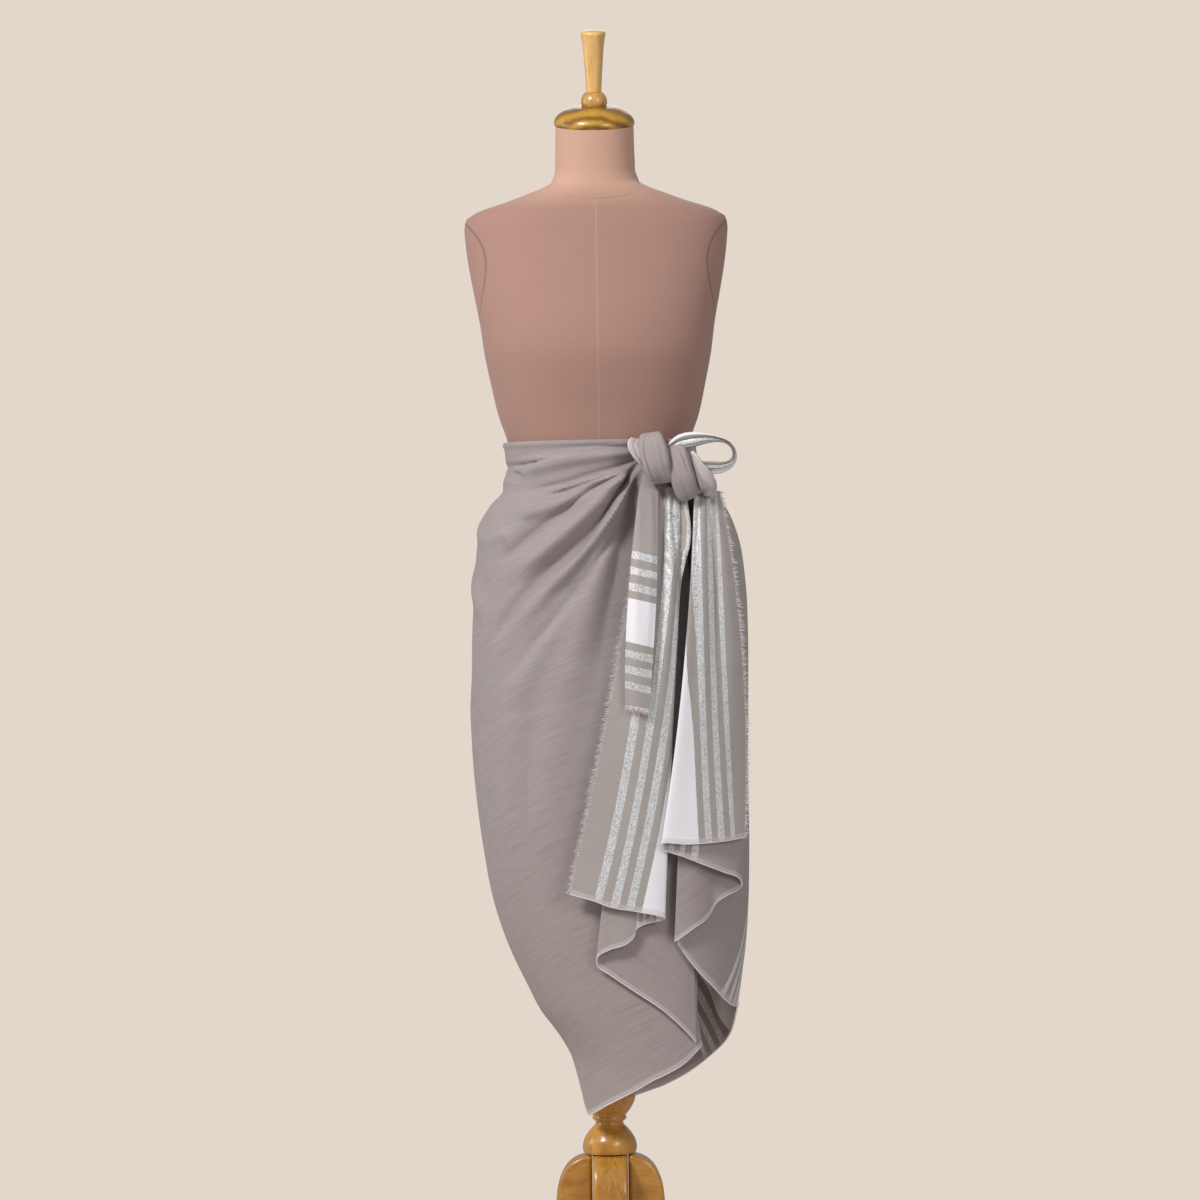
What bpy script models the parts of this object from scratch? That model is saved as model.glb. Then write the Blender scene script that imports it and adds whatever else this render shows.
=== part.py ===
"""A longyi sarong, tied at the left hip of a limbless dress form on a turned wooden stand.

One rectangle of grey cotton, with striped ends, goes once round the form. Its two ends are
knotted over the left hip, at +X, and hang there as folded cascades. The lower part of the
cloth hangs free of the form as a slanting tube round the pole of the stand.

Metres, +Z up, +Y towards the back. The origin is on the floor under the pole. The tables
below are in millimetres, and MM turns them into metres.
"""

import math

import bmesh
import bpy
import numpy as np
from mathutils import Matrix, Vector

MM = 0.001

# ---- driving sizes, in millimetres ---------------------------------------------------------
CLOTH = 1.6  # thickness of the woven cloth, with the air it traps
TAIL_CLOTH = 3.0  # the tail is the cloth's corner, folded double
FRINGE_CLOTH = 1.2
FRINGE_REACH = 7.0
GAP = 0.3  # between pieces that meet
FRINGE_GAP = 0.5  # a little more, because the fringe leans from the cloth it hangs on
FULLNESS = 2.2  # exponent of the body's superellipse sections
BUNDLE_FULLNESS = 2.5  # the same, for the folds of the knot

WAIST_TOP = 1125.0  # the cloth's upper edge
FORM_BOTTOM = 780.0
SHOULDER = 1408.0  # the form is widest here, and rounds over above it
NECK_TOP = 1537.0
NECK_TILT = 13.0  # degrees that the neck's top and its cap lean forward
POLE_RADIUS = 12.5
POST_FOOT = 202.0  # where the turned post stands on the hub
POST_TOP = 289.0
TURNED_SIDES = 32
POLE_SIDES = 24
LEG_WIDTH = 46.0
HUB_SIDE = 46.0
HUB_FOOT = 62.0  # the hub's underside
SLANT_START = 1450.0  # height where the form's rings begin to lean with the neck
TORSO_SIDES = 40
TORSO_RINGS = 17  # below the shoulders

# The space that the cloth goes round: its reach to each side at each height.
CLOTH_SECTIONS = (
    # height, x_left, x_right, y_front, y_back
    (250, -34.0, 165.0, -97.0, 97.0),
    (300, -40.0, 166.0, -98.5, 98.5),
    (328, -47.0, 167.0, -99.5, 99.5),
    (357, -63.0, 167.5, -101.0, 101.0),
    (390, -87.0, 169.0, -103.0, 102.5),
    (420, -102.0, 173.0, -104.5, 104.0),
    (475, -127.0, 180.5, -107.0, 106.5),
    (530, -144.0, 184.5, -110.0, 109.5),
    (600, -155.5, 186.0, -113.5, 113.0),
    (690, -164.3, 186.3, -117.5, 118.0),
    (790, -167.5, 188.0, -121.5, 123.5),
    (870, -168.5, 189.0, -122.5, 125.5),
    (944, -163.5, 186.5, -122.0, 123.0),
    (1000, -158.5, 178.0, -119.0, 117.0),
    (1030, -151.0, 167.0, -115.0, 111.0),
    (1048, -139.0, 158.0, -111.5, 106.0),
    (1060, -127.0, 150.0, -107.5, 102.0),
    (1075, -125.0, 138.0, -104.0, 98.0),
    (1097, -121.5, 128.0, -101.5, 94.5),
    (1125, -123.3, 124.0, -103.5, 95.5),
)

# The hem's height at each angle round the tube: 0 is +X, 90 the back, 180 -X, 270 the front.
HEM = (
    # angle, height
    (-70, 480),
    (-66, 462),
    (-60, 443),
    (-52, 425),
    (-40, 405),
    (-28, 395),
    (-10, 392),
    (2, 389),
    (20, 354),
    (46, 321),
    (75, 288),
    (104, 266),
    (125, 263),
    (150, 292),
    (168, 318),
    (180, 322),
    (188, 306),
    (196, 276),
    (203, 257),
    (212, 259),
    (230, 271),
    (256, 292),
    (272, 309),
    (286, 323),
    (303, 347),
)
FRONT_END = 303.0  # angle where the front turns under itself, at every height
# The back's cloth comes round the right side to this angle, over the front's end.
RIGHT_END = (
    # height, angle
    (480, -70.0),
    (664, -65.0),
    (855, -58.0),
    (1039, -48.0),
    (1125, -50.0),
)
# How far it stands out from the tube there. The lift begins at LIFT_START and grows over LIFT_RUN.
LIFT_START = -5.0
LIFT_RUN = 60.0
RIGHT_LIFT = (
    # height, distance
    (390, 15.0),
    (480, 15.0),
    (855, 14.0),
    (1039, 15.0),
    (1125, 9.0),
)

# Soft ridges that run from the knot over the front, between the creases of the pull.
KNOT_POINT = (54.0, 1090.0)
RIDGES = (
    # name, x_end, height_end, rise, half_width at its end
    ("waistband", -95.0, 1104.0, 5.0, 9.0),
    ("upper", -112.0, 1062.0, 7.0, 12.0),
    ("middle", -100.0, 985.0, 8.0, 17.0),
    ("lower", -104.0, 880.0, 10.0, 24.0),
)

# Lines of the cloth that hang from the knot, as x, height and distance out from the tube, at
# the knot, half way down and at the hem. Between them the cloth is a smooth sheet.
LEFT_RIBS = (
    # name, x_top, z_top, out_top, x_mid, z_mid, out_mid, x_hem, z_hem, out_hem
    ("fringe_edge", 60, 1062, 16, 15, 805, 22, -46, 546, 26),
    ("panel_a", 68, 1062, 18, 33, 803, 23, -18, 538, 27),
    ("panel_b", 79, 1062, 20, 50, 800, 24, 6, 529, 28),
    ("panel_c", 92, 1062, 22, 71, 796, 25, 39, 523, 28),
    ("panel_d", 103, 1062, 24, 88, 793, 25, 66, 517, 28),
    ("right_fold_out", 109, 1062, 23, 94, 791, 24, 74, 514, 25),
    ("right_fold_in", 107, 1062, 19, 92, 787, 19, 71, 511, 20),
    ("roll_a", 99, 1062, 17, 78, 784, 16, 49, 506, 17),
    ("roll_b", 92, 1062, 16, 67, 780, 15, 38, 500, 17),
    ("roll_c", 87, 1062, 15, 60, 773, 15, 34, 489, 18),
    ("roll_d", 81, 1062, 14, 53, 771, 16, 24, 481, 20),
    ("roll_e", 75, 1062, 13, 38, 766, 15, 3, 474, 19),
    ("left_fold_out", 69, 1062, 11, 25, 760, 13, -13, 463, 15),
    ("left_fold_in", 69, 1062, 7, 26, 757, 9, -13, 455, 10),
    ("under_a", 72, 1062, 7, 43, 749, 7, 5, 440, 8),
    ("under_b", 76, 1062, 7, 62, 741, 6, 35, 419, 7),
    ("under_c", 80, 1062, 7, 82, 731, 6, 68, 396, 6),
    ("under_d", 84, 1062, 7, 98, 715, 6, 98, 368, 6),
    ("turn_under", 88, 1062, 6, 105, 707, 4, 112, 352, 5),
)
RIGHT_RIBS = (
    ("left_turn_out", 124, 1046, 23, 103, 765, 21, 86, 483, 21),
    ("roll_a", 128, 1046, 26, 112, 767, 23, 94, 488, 24),
    ("roll_b", 131, 1047, 28, 126, 774, 23, 111, 500, 26),
    ("roll_c", 134, 1048, 29, 138, 779, 21, 126, 510, 23),
    ("roll_d", 137, 1049, 30, 145, 784, 20, 134, 520, 20),
    ("roll_e", 140, 1050, 31, 151, 789, 20, 141, 531, 20),
    ("roll_f", 143, 1051, 33, 161, 794, 21, 152, 538, 22),
    ("right_fold_in", 146, 1052, 36, 176, 802, 24, 174, 552, 27),
    ("right_fold_out", 146, 1052, 40, 176, 806, 28, 172, 559, 32),
    ("shelf_a", 140, 1052, 39, 157, 811, 30, 151, 570, 34),
    ("shelf_b", 134, 1052, 37, 137, 816, 31, 127, 580, 35),
    ("shelf_c", 127, 1052, 34, 117, 822, 31, 99, 592, 35),
    ("shelf_fold_in", 121, 1052, 32, 103, 826, 32, 73, 603, 36),
    ("shelf_fold_out", 120, 1052, 36, 102, 829, 36, 71, 608, 40),
    ("panel_a", 129, 1054, 40, 125, 831, 37, 105, 608, 42),
    ("panel_b", 139, 1055, 44, 154, 833, 38, 145, 609, 43),
    ("fringe_edge", 152, 1057, 46, 178, 836, 39, 177, 614, 42),
)
TAIL_RIBS = (
    ("left_edge", 45, 1070, 28, 34, 926, 32, 28, 788, 33),
    ("middle", 59, 1066, 33, 52, 926, 36, 43, 785, 37),
    ("right_edge", 72, 1063, 29, 69, 926, 32, 58, 782, 34),
)

# Folds of the knot, each a bundle of cloth along a path: its centre and half sizes.
KNOT_WRAP = (
    # x, y, z, half_width, half_depth
    (65, -130, 1131, 9, 6),
    (66, -136, 1125, 15, 12),
    (69, -141, 1108, 19, 17),
    (73, -143, 1090, 17, 18),
    (77, -140, 1075, 12, 15),
    (78, -135, 1067, 8, 8),
)
KNOT_TUCK = (
    (46, -124, 1124, 4, 6),
    (43, -130, 1116, 7, 10),
    (44, -133, 1104, 5.5, 12),
    (48, -134, 1093, 5, 11),
    (53, -133, 1081, 3, 7),
)
KNOT_FOLD_INNER = (
    (100, -128, 1114, 7, 7),
    (102, -134, 1107, 11, 13),
    (104, -138, 1090, 13, 16),
    (107, -139, 1071, 14, 16),
    (111, -136, 1055, 12, 12),
    (114, -132, 1047, 8, 6),
)
KNOT_FOLD_OUTER = (
    (117, -123, 1107, 3, 5),
    (121, -128, 1100, 5, 9),
    (126, -132, 1088, 8, 13),
    (132, -134, 1076, 11, 14),
    (137, -133, 1064, 12, 13),
    (138, -131, 1055, 10, 9),
    (136, -129, 1050, 5, 5),
)
KNOT_LOOP = (
    # x, y, z, half_width (front to back), half_thickness
    (92, -106, 1114, 7.0, 6.0),
    (104, -110, 1124, 8.0, 7.5),
    (118, -114, 1129, 9.0, 7.0),
    (134, -116, 1129, 9.0, 6.5),
    (150, -116, 1126, 9.0, 3.6),
    (164, -115, 1121, 8.5, 2.2),
    (173, -113, 1112, 8.5, 2.6),
    (174, -112, 1100, 8.5, 3.4),
    (168, -111, 1090, 8.5, 5.5),
    (154, -109, 1086, 8.5, 8.0),
    (140, -107, 1086, 8.0, 8.5),
    (126, -105, 1087, 7.0, 8.0),
)

FORM_SECTIONS = (
    # height, half_width, y_front, y_back
    (780, 161.0, -114, 116),
    (830, 163.5, -117, 120),
    (870, 164.0, -118, 121),
    (920, 160.0, -117, 119),
    (970, 152.0, -113, 111),
    (1015, 139.0, -107, 102),
    (1055, 119.5, -100, 94),
    (1095, 116.0, -96, 90),
    (1125, 118.5, -98, 91),
    (1160, 130.0, -104, 94),
    (1200, 139.0, -113, 100),
    (1240, 147.0, -119, 105),
    (1280, 152.5, -113, 108),
    (1320, 160.0, -100, 109),
    (1360, 167.0, -86, 106),
    (1390, 170.5, -76, 100),
    (1408, 171.0, -70, 94),
    (1419, 167.0, -65, 88),
    (1428, 150.0, -60, 82),
    (1438, 119.0, -56, 76),
    (1449, 89.0, -53, 69),
    (1460, 62.0, -51, 61),
    (1472, 54.0, -50, 55),
    (1492, 51.8, -50.5, 53),
    (1512, 51.2, -52, 50.5),
    (1537, 50.8, -54, 47.6),
)

# Turned profiles, radius and height, from the axis at the bottom to the axis at the top.
CAP_PROFILE = ((0, 0), (51.5, 0), (52.5, 2), (52.3, 6), (49, 12), (42, 18), (31, 23), (17, 25), (0, 25))
BALL_PROFILE = ((0, 25.3), (16.0, 25.3), (17.2, 29), (17.0, 33), (14.6, 39), (11.2, 43), (0, 43))
GRIP_PROFILE = ((0, 43.3), (9.8, 43.3), (11.6, 72), (16.0, 116), (16.5, 118.5), (15.4, 120.5), (0, 123.5))
POST_PROFILE = (
    (0, POST_FOOT),
    (33.5, POST_FOOT),
    (34.9, 206.5),
    (35, 212),
    (33.8, 218),
    (30, 225.6),
    (24, 233.4),
    (18.6, 239.5),
    (17.8, 242.5),
    (20.5, 244.6),
    (22.3, 247.7),
    (21.2, 250.4),
    (24, 254),
    (29.5, 262),
    (33.4, 271),
    (34.4, 279),
    (32, 285),
    (24, POST_TOP),
    (0, POST_TOP),
)
# One leg from the side: distance from the axis and height, round its outline.
LEG_OUTLINE = (
    (23.6, 201.5),
    (42, 197),
    (54, 188.7),
    (64, 172),
    (69, 154),
    (71, 134),
    (78, 108),
    (98, 79),
    (135, 55),
    (185, 40),
    (228, 33),
    (241, 26),
    (245, 14),
    (243, 0),
    (206, 0),
    (200, 7),
    (165, 13),
    (120, 24),
    (80, 42),
    (50, 64),
    (23.6, 84),
)
LEG_BEVEL = 5.0

# ---- colours: linear RGB ------------------------------------------------------------------
COTTON = (0.34, 0.31, 0.30)
SILVER = (0.60, 0.60, 0.59)
COVER = (0.34, 0.22, 0.19)
WOOD = (0.52, 0.31, 0.11)


def through(table, at, column=1):
    """A smooth curve through a table's rows: its first column is the place, in rising order."""
    places = np.array([row[0] for row in table], float)
    values = np.array([row[column] for row in table], float)
    steps = np.diff(places)
    slopes = np.diff(values) / steps
    tangents = np.empty(len(places))
    tangents[1:-1] = (slopes[:-1] * steps[1:] + slopes[1:] * steps[:-1]) / (steps[1:] + steps[:-1])
    tangents[0], tangents[-1] = slopes[0], slopes[-1]
    at = np.clip(at, places[0], places[-1])
    row = int(np.clip(np.searchsorted(places, at) - 1, 0, len(steps) - 1))
    t = (at - places[row]) / steps[row]
    return (
        values[row] * (1 + 2 * t) * (1 - t) ** 2
        + values[row + 1] * t * t * (3 - 2 * t)
        + steps[row] * t * (1 - t) * (tangents[row] * (1 - t) - tangents[row + 1] * t)
    )


def ease(t):
    """0 to 1 with level ends."""
    t = min(max(t, 0.0), 1.0)
    return t * t * (3 - 2 * t)


def tube_section(height, out):
    """Centre and half sizes of the cloth's section at a height, moved out all round."""
    x_left, x_right, y_front, y_back = (through(CLOTH_SECTIONS, height, i) for i in (1, 2, 3, 4))
    return (
        (x_left + x_right) / 2,
        (y_front + y_back) / 2,
        (x_right - x_left) / 2 + out,
        (y_back - y_front) / 2 + out,
    )


def power(value, exponent):
    return math.copysign(abs(value) ** exponent, value)


def tube_point(angle, height, out=0.0):
    """The point of the tube at an angle in degrees."""
    centre_x, centre_y, half_x, half_y = tube_section(height, out)
    turn = math.radians(angle)
    return (
        centre_x + half_x * power(math.cos(turn), 2 / FULLNESS),
        centre_y + half_y * power(math.sin(turn), 2 / FULLNESS),
        height,
    )


def front_point(x, height, out):
    """The point of the tube's front at x, moved out from it."""
    centre_x, centre_y, half_x, half_y = tube_section(height, out)
    across = min(abs(x - centre_x) / half_x, 0.999)
    return (x, centre_y - half_y * (1 - across**FULLNESS) ** (1 / FULLNESS), height)


def ridge_rise(x, height):
    """How far the ridges lift the front at a place, in the front view."""
    start = np.array(KNOT_POINT)
    here = np.array((x, height))
    total = 0.0
    for _, end_x, end_height, rise, half_width in RIDGES:
        run = np.array((end_x, end_height)) - start
        along = float(np.dot(here - start, run) / np.dot(run, run))
        if not 0.0 < along < 1.0:
            continue
        across = np.linalg.norm(here - start - along * run)
        width = half_width * (0.35 + 0.65 * along)
        fade = ease(along / 0.15) * ease((1 - along) / 0.6)
        total += rise * fade * math.exp(-((across / width) ** 2))
    return total


# ---- making meshes ------------------------------------------------------------------------
def material(name, colour, roughness, metallic=0.0):
    made = bpy.data.materials.new(name)
    made.use_nodes = True
    shader = made.node_tree.nodes["Principled BSDF"]
    shader.inputs["Base Color"].default_value = (*colour, 1)
    shader.inputs["Roughness"].default_value = roughness
    shader.inputs["Metallic"].default_value = metallic
    return made


def add_object(name, mesh, finish, smooth_angle=60):
    made = bpy.data.objects.new(name, mesh)
    bpy.context.scene.collection.objects.link(made)
    made.data.materials.append(finish)
    mesh.shade_smooth()
    mesh.set_sharp_from_angle(angle=math.radians(smooth_angle))
    return made


def sheet(name, rows, thickness, finish):
    """A wall of cloth on a grid of points in millimetres: rows run down, columns across."""
    points = np.array(rows, float) * MM
    count_down, count_across = points.shape[:2]
    down = np.gradient(points, axis=0)
    across = np.gradient(points, axis=1)
    normals = np.cross(down, across)
    normals /= np.linalg.norm(normals, axis=2, keepdims=True)
    half = normals * thickness * MM / 2
    outer = (points + half).reshape(-1, 3)
    inner = (points - half).reshape(-1, 3)
    work = bmesh.new()
    tops = [work.verts.new(point) for point in outer]
    unders = [work.verts.new(point) for point in inner]

    def at(layer, i, j):
        return layer[i * count_across + j]

    for i in range(count_down - 1):
        for j in range(count_across - 1):
            corners = ((i, j), (i + 1, j), (i + 1, j + 1), (i, j + 1))
            work.faces.new([at(tops, *corner) for corner in corners])
            work.faces.new([at(unders, *corner) for corner in reversed(corners)])
    rim = [(0, j) for j in range(count_across)]
    rim += [(i, count_across - 1) for i in range(1, count_down)]
    rim += [(count_down - 1, j) for j in range(count_across - 2, -1, -1)]
    rim += [(i, 0) for i in range(count_down - 2, 0, -1)]
    for here, there in zip(rim, rim[1:] + rim[:1]):
        work.faces.new([at(tops, *here), at(tops, *there), at(unders, *there), at(unders, *here)])
    return finish_mesh(name, work, finish)


def finish_mesh(name, work, finish, smooth_angle=60):
    bmesh.ops.recalc_face_normals(work, faces=work.faces)
    mesh = bpy.data.meshes.new(name)
    work.to_mesh(mesh)
    work.free()
    return add_object(name, mesh, finish, smooth_angle)


def loft(name, rings, finish, smooth_angle=60):
    """A closed solid through rings of points in millimetres, each with as many points."""
    work = bmesh.new()
    loops = [[work.verts.new(Vector(point) * MM) for point in ring] for ring in rings]
    for lower, upper in zip(loops, loops[1:]):
        for i in range(len(lower)):
            j = (i + 1) % len(lower)
            work.faces.new((lower[i], lower[j], upper[j], upper[i]))
    work.faces.new(loops[0])
    work.faces.new(loops[-1])
    return finish_mesh(name, work, finish, smooth_angle)


def lathe(name, profile, finish, sides=TURNED_SIDES, smooth_angle=35):
    """A turned solid: the profile spun round Z."""
    work = bmesh.new()
    points = [work.verts.new((radius * MM, 0, height * MM)) for radius, height in profile]
    edges = [work.edges.new(pair) for pair in zip(points, points[1:])]
    bmesh.ops.spin(
        work,
        geom=points + edges,
        axis=(0, 0, 1),
        cent=(0, 0, 0),
        angle=math.tau,
        steps=sides,
        use_merge=True,
    )
    bmesh.ops.remove_doubles(work, verts=work.verts, dist=1e-6)
    return finish_mesh(name, work, finish, smooth_angle)


# ---- the dress form and its stand ---------------------------------------------------------
def build_torso(cover):
    """The covered form, from its flat underside to the slanting top of its neck."""
    shoulders = [row[0] for row in FORM_SECTIONS if row[0] > SHOULDER]
    heights = list(np.linspace(FORM_BOTTOM, SHOULDER, TORSO_RINGS)) + shoulders
    lean = math.tan(math.radians(NECK_TILT))
    rings = []
    for height in heights:
        half_width, y_front, y_back = (through(FORM_SECTIONS, height, i) for i in (1, 2, 3))
        centre, half_depth = (y_front + y_back) / 2, (y_back - y_front) / 2
        slant = ease((height - SLANT_START) / (NECK_TOP - SLANT_START))
        ring = []
        for turn in np.linspace(0, math.tau, TORSO_SIDES, endpoint=False):
            x = half_width * power(math.cos(turn), 2 / FULLNESS)
            y = centre + half_depth * power(math.sin(turn), 2 / FULLNESS)
            ring.append((x, y, height + slant * lean * (y - centre)))
        rings.append(ring)
    return loft("form_torso", rings, cover)


def build_cap(wood):
    """The turned cap, ball and grip, on the leaning top of the neck."""
    neck_y = (FORM_SECTIONS[-1][2] + FORM_SECTIONS[-1][3]) / 2
    seat = Matrix.Rotation(math.radians(NECK_TILT), 4, "X")
    seat.translation = (0, neck_y * MM, (NECK_TOP + GAP) * MM)
    for name, profile in (
        ("neck_cap", CAP_PROFILE),
        ("cap_ball", BALL_PROFILE),
        ("cap_grip", GRIP_PROFILE),
    ):
        lathe(name, profile, wood).matrix_world = seat


def build_stand(wood):
    foot, top = POST_TOP + GAP, FORM_BOTTOM - GAP
    pole = ((0, foot), (POLE_RADIUS, foot), (POLE_RADIUS, top), (0, top))
    lathe("stand_pole", pole, wood, sides=POLE_SIDES)
    lathe("stand_post", POST_PROFILE, wood)

    half = HUB_SIDE / 2
    corners = ((-half, -half), (half, -half), (half, half), (-half, half))
    rings = [[(x, y, height) for x, y in corners] for height in (HUB_FOOT, POST_FOOT - GAP)]
    loft("stand_hub", rings, wood, smooth_angle=30)

    for name, angle in (("right", 0), ("back", 90), ("left", 180), ("front", 270)):
        work = bmesh.new()
        side = [
            work.verts.new((reach * MM, -LEG_WIDTH / 2 * MM, height * MM))
            for reach, height in LEG_OUTLINE
        ]
        face = work.faces.new(side)
        grown = bmesh.ops.extrude_face_region(work, geom=[face])["geom"]
        far = [item for item in grown if isinstance(item, bmesh.types.BMVert)]
        bmesh.ops.translate(work, verts=far, vec=(0, LEG_WIDTH * MM, 0))
        leg = finish_mesh(f"stand_leg_{name}", work, wood, smooth_angle=30)
        leg.rotation_euler.z = math.radians(angle)
        bevel = leg.modifiers.new("rounded edges", "BEVEL")
        bevel.width = LEG_BEVEL * MM
        bevel.segments = 2
        bevel.angle_limit = math.radians(60)


# ---- the cloth ----------------------------------------------------------------------------
def tube_grid(angle_from, angle_to, across, down, end_angle=None):
    """Points of the wrap between two angles, from its top edge down to the hem.

    With end_angle, a function of height, the last column follows it instead of angle_to.
    """
    rows = []
    for t in np.linspace(0, 1, down):
        row = []
        for s in np.linspace(0, 1, across):
            hem = through(HEM, angle_from + s * (angle_to - angle_from))
            height = WAIST_TOP + t * (hem - WAIST_TOP)
            reach = end_angle(height) if end_angle else angle_to
            angle = angle_from + s * (reach - angle_from)
            out = 0.0
            if end_angle:
                out = through(RIGHT_LIFT, height) * ease((LIFT_START - angle) / LIFT_RUN)
            point = tube_point(angle, height, out)
            if angle > 180:
                point = tube_point(angle, height, ridge_rise(point[0], height))
            row.append(point)
        rows.append(row)
    return rows


def rib_grid(ribs, down):
    """Points of a hanging stretch: one column for each rib, bent smoothly down its length."""
    rows = []
    for t in np.linspace(0, 1, down):
        weights = ((1 - t) * (1 - 2 * t), 4 * t * (1 - t), t * (2 * t - 1))
        rows.append(
            [
                front_point(*(sum(w * rib[i + 3 * k] for k, w in enumerate(weights)) for i in (1, 2, 3)))
                for rib in ribs
            ]
        )
    return rows


def refine(rows, between=1):
    """Adds columns between a grid's columns, on smooth curves through them."""
    grid = np.array(rows, float)
    count = grid.shape[1]
    table_at = np.arange(count)
    wanted = np.linspace(0, count - 1, (count - 1) * (between + 1) + 1)
    made = np.empty((grid.shape[0], len(wanted), 3))
    for i, line in enumerate(grid):
        for axis in range(3):
            table = list(zip(table_at, line[:, axis]))
            made[i, :, axis] = [through(table, at) for at in wanted]
    return made


def strip_beside(rows, column, reach):
    """A strip that goes on from a grid's end column: the fringe."""
    grid = np.array(rows, float)
    edge = grid[:, column]
    inside = grid[:, 1 if column == 0 else -2]
    away = edge - inside
    away /= np.linalg.norm(away, axis=1, keepdims=True)
    return np.stack((edge + away * (FRINGE_GAP + reach), edge + away * FRINGE_GAP), axis=1)


def build_wrap(cotton):
    seam = 0.1  # degrees: half the gap between two stretches, at the tube's radius

    def right_end(height):
        return through(RIGHT_END, height)

    sheet("wrap_front", tube_grid(180 + seam, FRONT_END, 25, 24), CLOTH, cotton)
    sheet("wrap_back", tube_grid(seam, 180 - seam, 19, 16), CLOTH, cotton)
    sheet("wrap_right", tube_grid(-seam, -70, 11, 16, right_end), CLOTH, cotton)


def build_cascades(cotton, silver):
    """The two ends of the cloth, folded to and fro under the knot, with their fringes."""

    def stretch(name, ribs, first, last, down, between=1):
        names = [rib[0] for rib in ribs]
        kept = ribs[names.index(first) : names.index(last) + 1]
        grid = refine(rib_grid(kept, down), between)
        sheet(name, grid, CLOTH, cotton)
        return grid

    panel = stretch("panel_left", LEFT_RIBS, "fringe_edge", "right_fold_out", 14)
    sheet("fringe_left", strip_beside(panel, 0, FRINGE_REACH), FRINGE_CLOTH, silver)
    stretch("pleat_left_outer", LEFT_RIBS, "right_fold_in", "left_fold_out", 12)
    stretch("pleat_left_inner", LEFT_RIBS, "left_fold_in", "turn_under", 12)
    stretch("pleat_right_inner", RIGHT_RIBS, "left_turn_out", "right_fold_in", 12)
    stretch("pleat_right_outer", RIGHT_RIBS, "right_fold_out", "shelf_fold_in", 12)
    panel = stretch("panel_right", RIGHT_RIBS, "shelf_fold_out", "fringe_edge", 14)
    sheet("fringe_right", strip_beside(panel, -1, FRINGE_REACH)[:, ::-1], FRINGE_CLOTH, silver)

    tail = refine(rib_grid(TAIL_RIBS, 14), 1)
    sheet("tail_band", tail, TAIL_CLOTH, cotton)
    end = tail[-1]
    down = np.array((0.0, 0.0, -1.0))
    sheet("fringe_tail", (end + down * GAP, end + down * (GAP + FRINGE_REACH)), FRINGE_CLOTH, silver)


def bundle(name, stations, finish, sides=12, level=False):
    """A bundle of cloth along a path. Its width is across the path, in the front view.

    A level bundle keeps its width along Y, as a ribbon does that is bent in the front view.
    """
    rows = [(i, *station) for i, station in enumerate(stations)]
    places = np.linspace(0, len(stations) - 1, 2 * len(stations) - 1)
    centres = np.array([[through(rows, at, axis) for axis in (1, 2, 3)] for at in places])
    forward = np.gradient(centres, axis=0)
    rings = []
    for at, centre, ahead in zip(places, centres, forward):
        ahead = Vector(ahead).normalized()
        depth = Vector((0, -1, 0)) if not level else ahead.cross(Vector((0, -1, 0))).normalized()
        across = Vector((0, -1, 0)) if level else ahead.cross(depth).normalized()
        half_width, half_depth = through(rows, at, 4), through(rows, at, 5)
        rings.append(
            [
                Vector(centre)
                + across * half_width * power(math.cos(turn), 2 / BUNDLE_FULLNESS)
                + depth * half_depth * power(math.sin(turn), 2 / BUNDLE_FULLNESS)
                for turn in np.linspace(0, math.tau, sides, endpoint=False)
            ]
        )
    return loft(name, rings, finish)


def build_knot(cotton, silver):
    bundle("knot_wrap", KNOT_WRAP, cotton)
    bundle("knot_tuck", KNOT_TUCK, cotton)
    bundle("knot_fold_inner", KNOT_FOLD_INNER, cotton)
    bundle("knot_fold_outer", KNOT_FOLD_OUTER, cotton)
    bundle("knot_loop", KNOT_LOOP, silver, sides=8, level=True)


def main():
    for old in list(bpy.data.objects):
        bpy.data.objects.remove(old)
    cotton = material("grey_cotton", COTTON, 0.85)
    silver = material("silver_band", SILVER, 0.55)
    cover = material("form_cover", COVER, 0.8)
    wood = material("waxed_wood", WOOD, 0.4)
    build_torso(cover)
    build_cap(wood)
    build_stand(wood)
    build_wrap(cotton)
    build_cascades(cotton, silver)
    build_knot(cotton, silver)


main()
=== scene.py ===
"""The looks of a longyi sarong on a limbless dress form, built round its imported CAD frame.

Each stretch of the cloth is a thin shell on the form of its CAD solid, with its creases laid on as
soft ridges and troughs. The shells carry cloth coordinates, in metres: u is the distance from the
nearer short end of the cloth, and v the distance from its lower long edge. The stripes, the hem and
the weave are drawn from these two. The tables are in millimetres, and MM turns them into metres.
"""

import math

import bmesh
import bpy
import numpy as np
from mathutils import Matrix, Vector


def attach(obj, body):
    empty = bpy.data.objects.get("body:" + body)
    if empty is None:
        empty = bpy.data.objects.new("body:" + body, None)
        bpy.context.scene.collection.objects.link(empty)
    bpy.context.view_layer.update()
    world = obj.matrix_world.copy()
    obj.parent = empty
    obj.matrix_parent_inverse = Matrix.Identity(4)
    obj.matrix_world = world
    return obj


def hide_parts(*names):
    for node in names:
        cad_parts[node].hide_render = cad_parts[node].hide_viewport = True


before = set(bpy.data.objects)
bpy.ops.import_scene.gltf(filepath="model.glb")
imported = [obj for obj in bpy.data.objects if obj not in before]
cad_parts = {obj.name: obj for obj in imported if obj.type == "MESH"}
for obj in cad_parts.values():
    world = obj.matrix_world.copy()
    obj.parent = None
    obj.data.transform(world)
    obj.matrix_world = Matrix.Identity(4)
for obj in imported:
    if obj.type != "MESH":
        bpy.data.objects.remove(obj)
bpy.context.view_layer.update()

MM = 0.001

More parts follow.
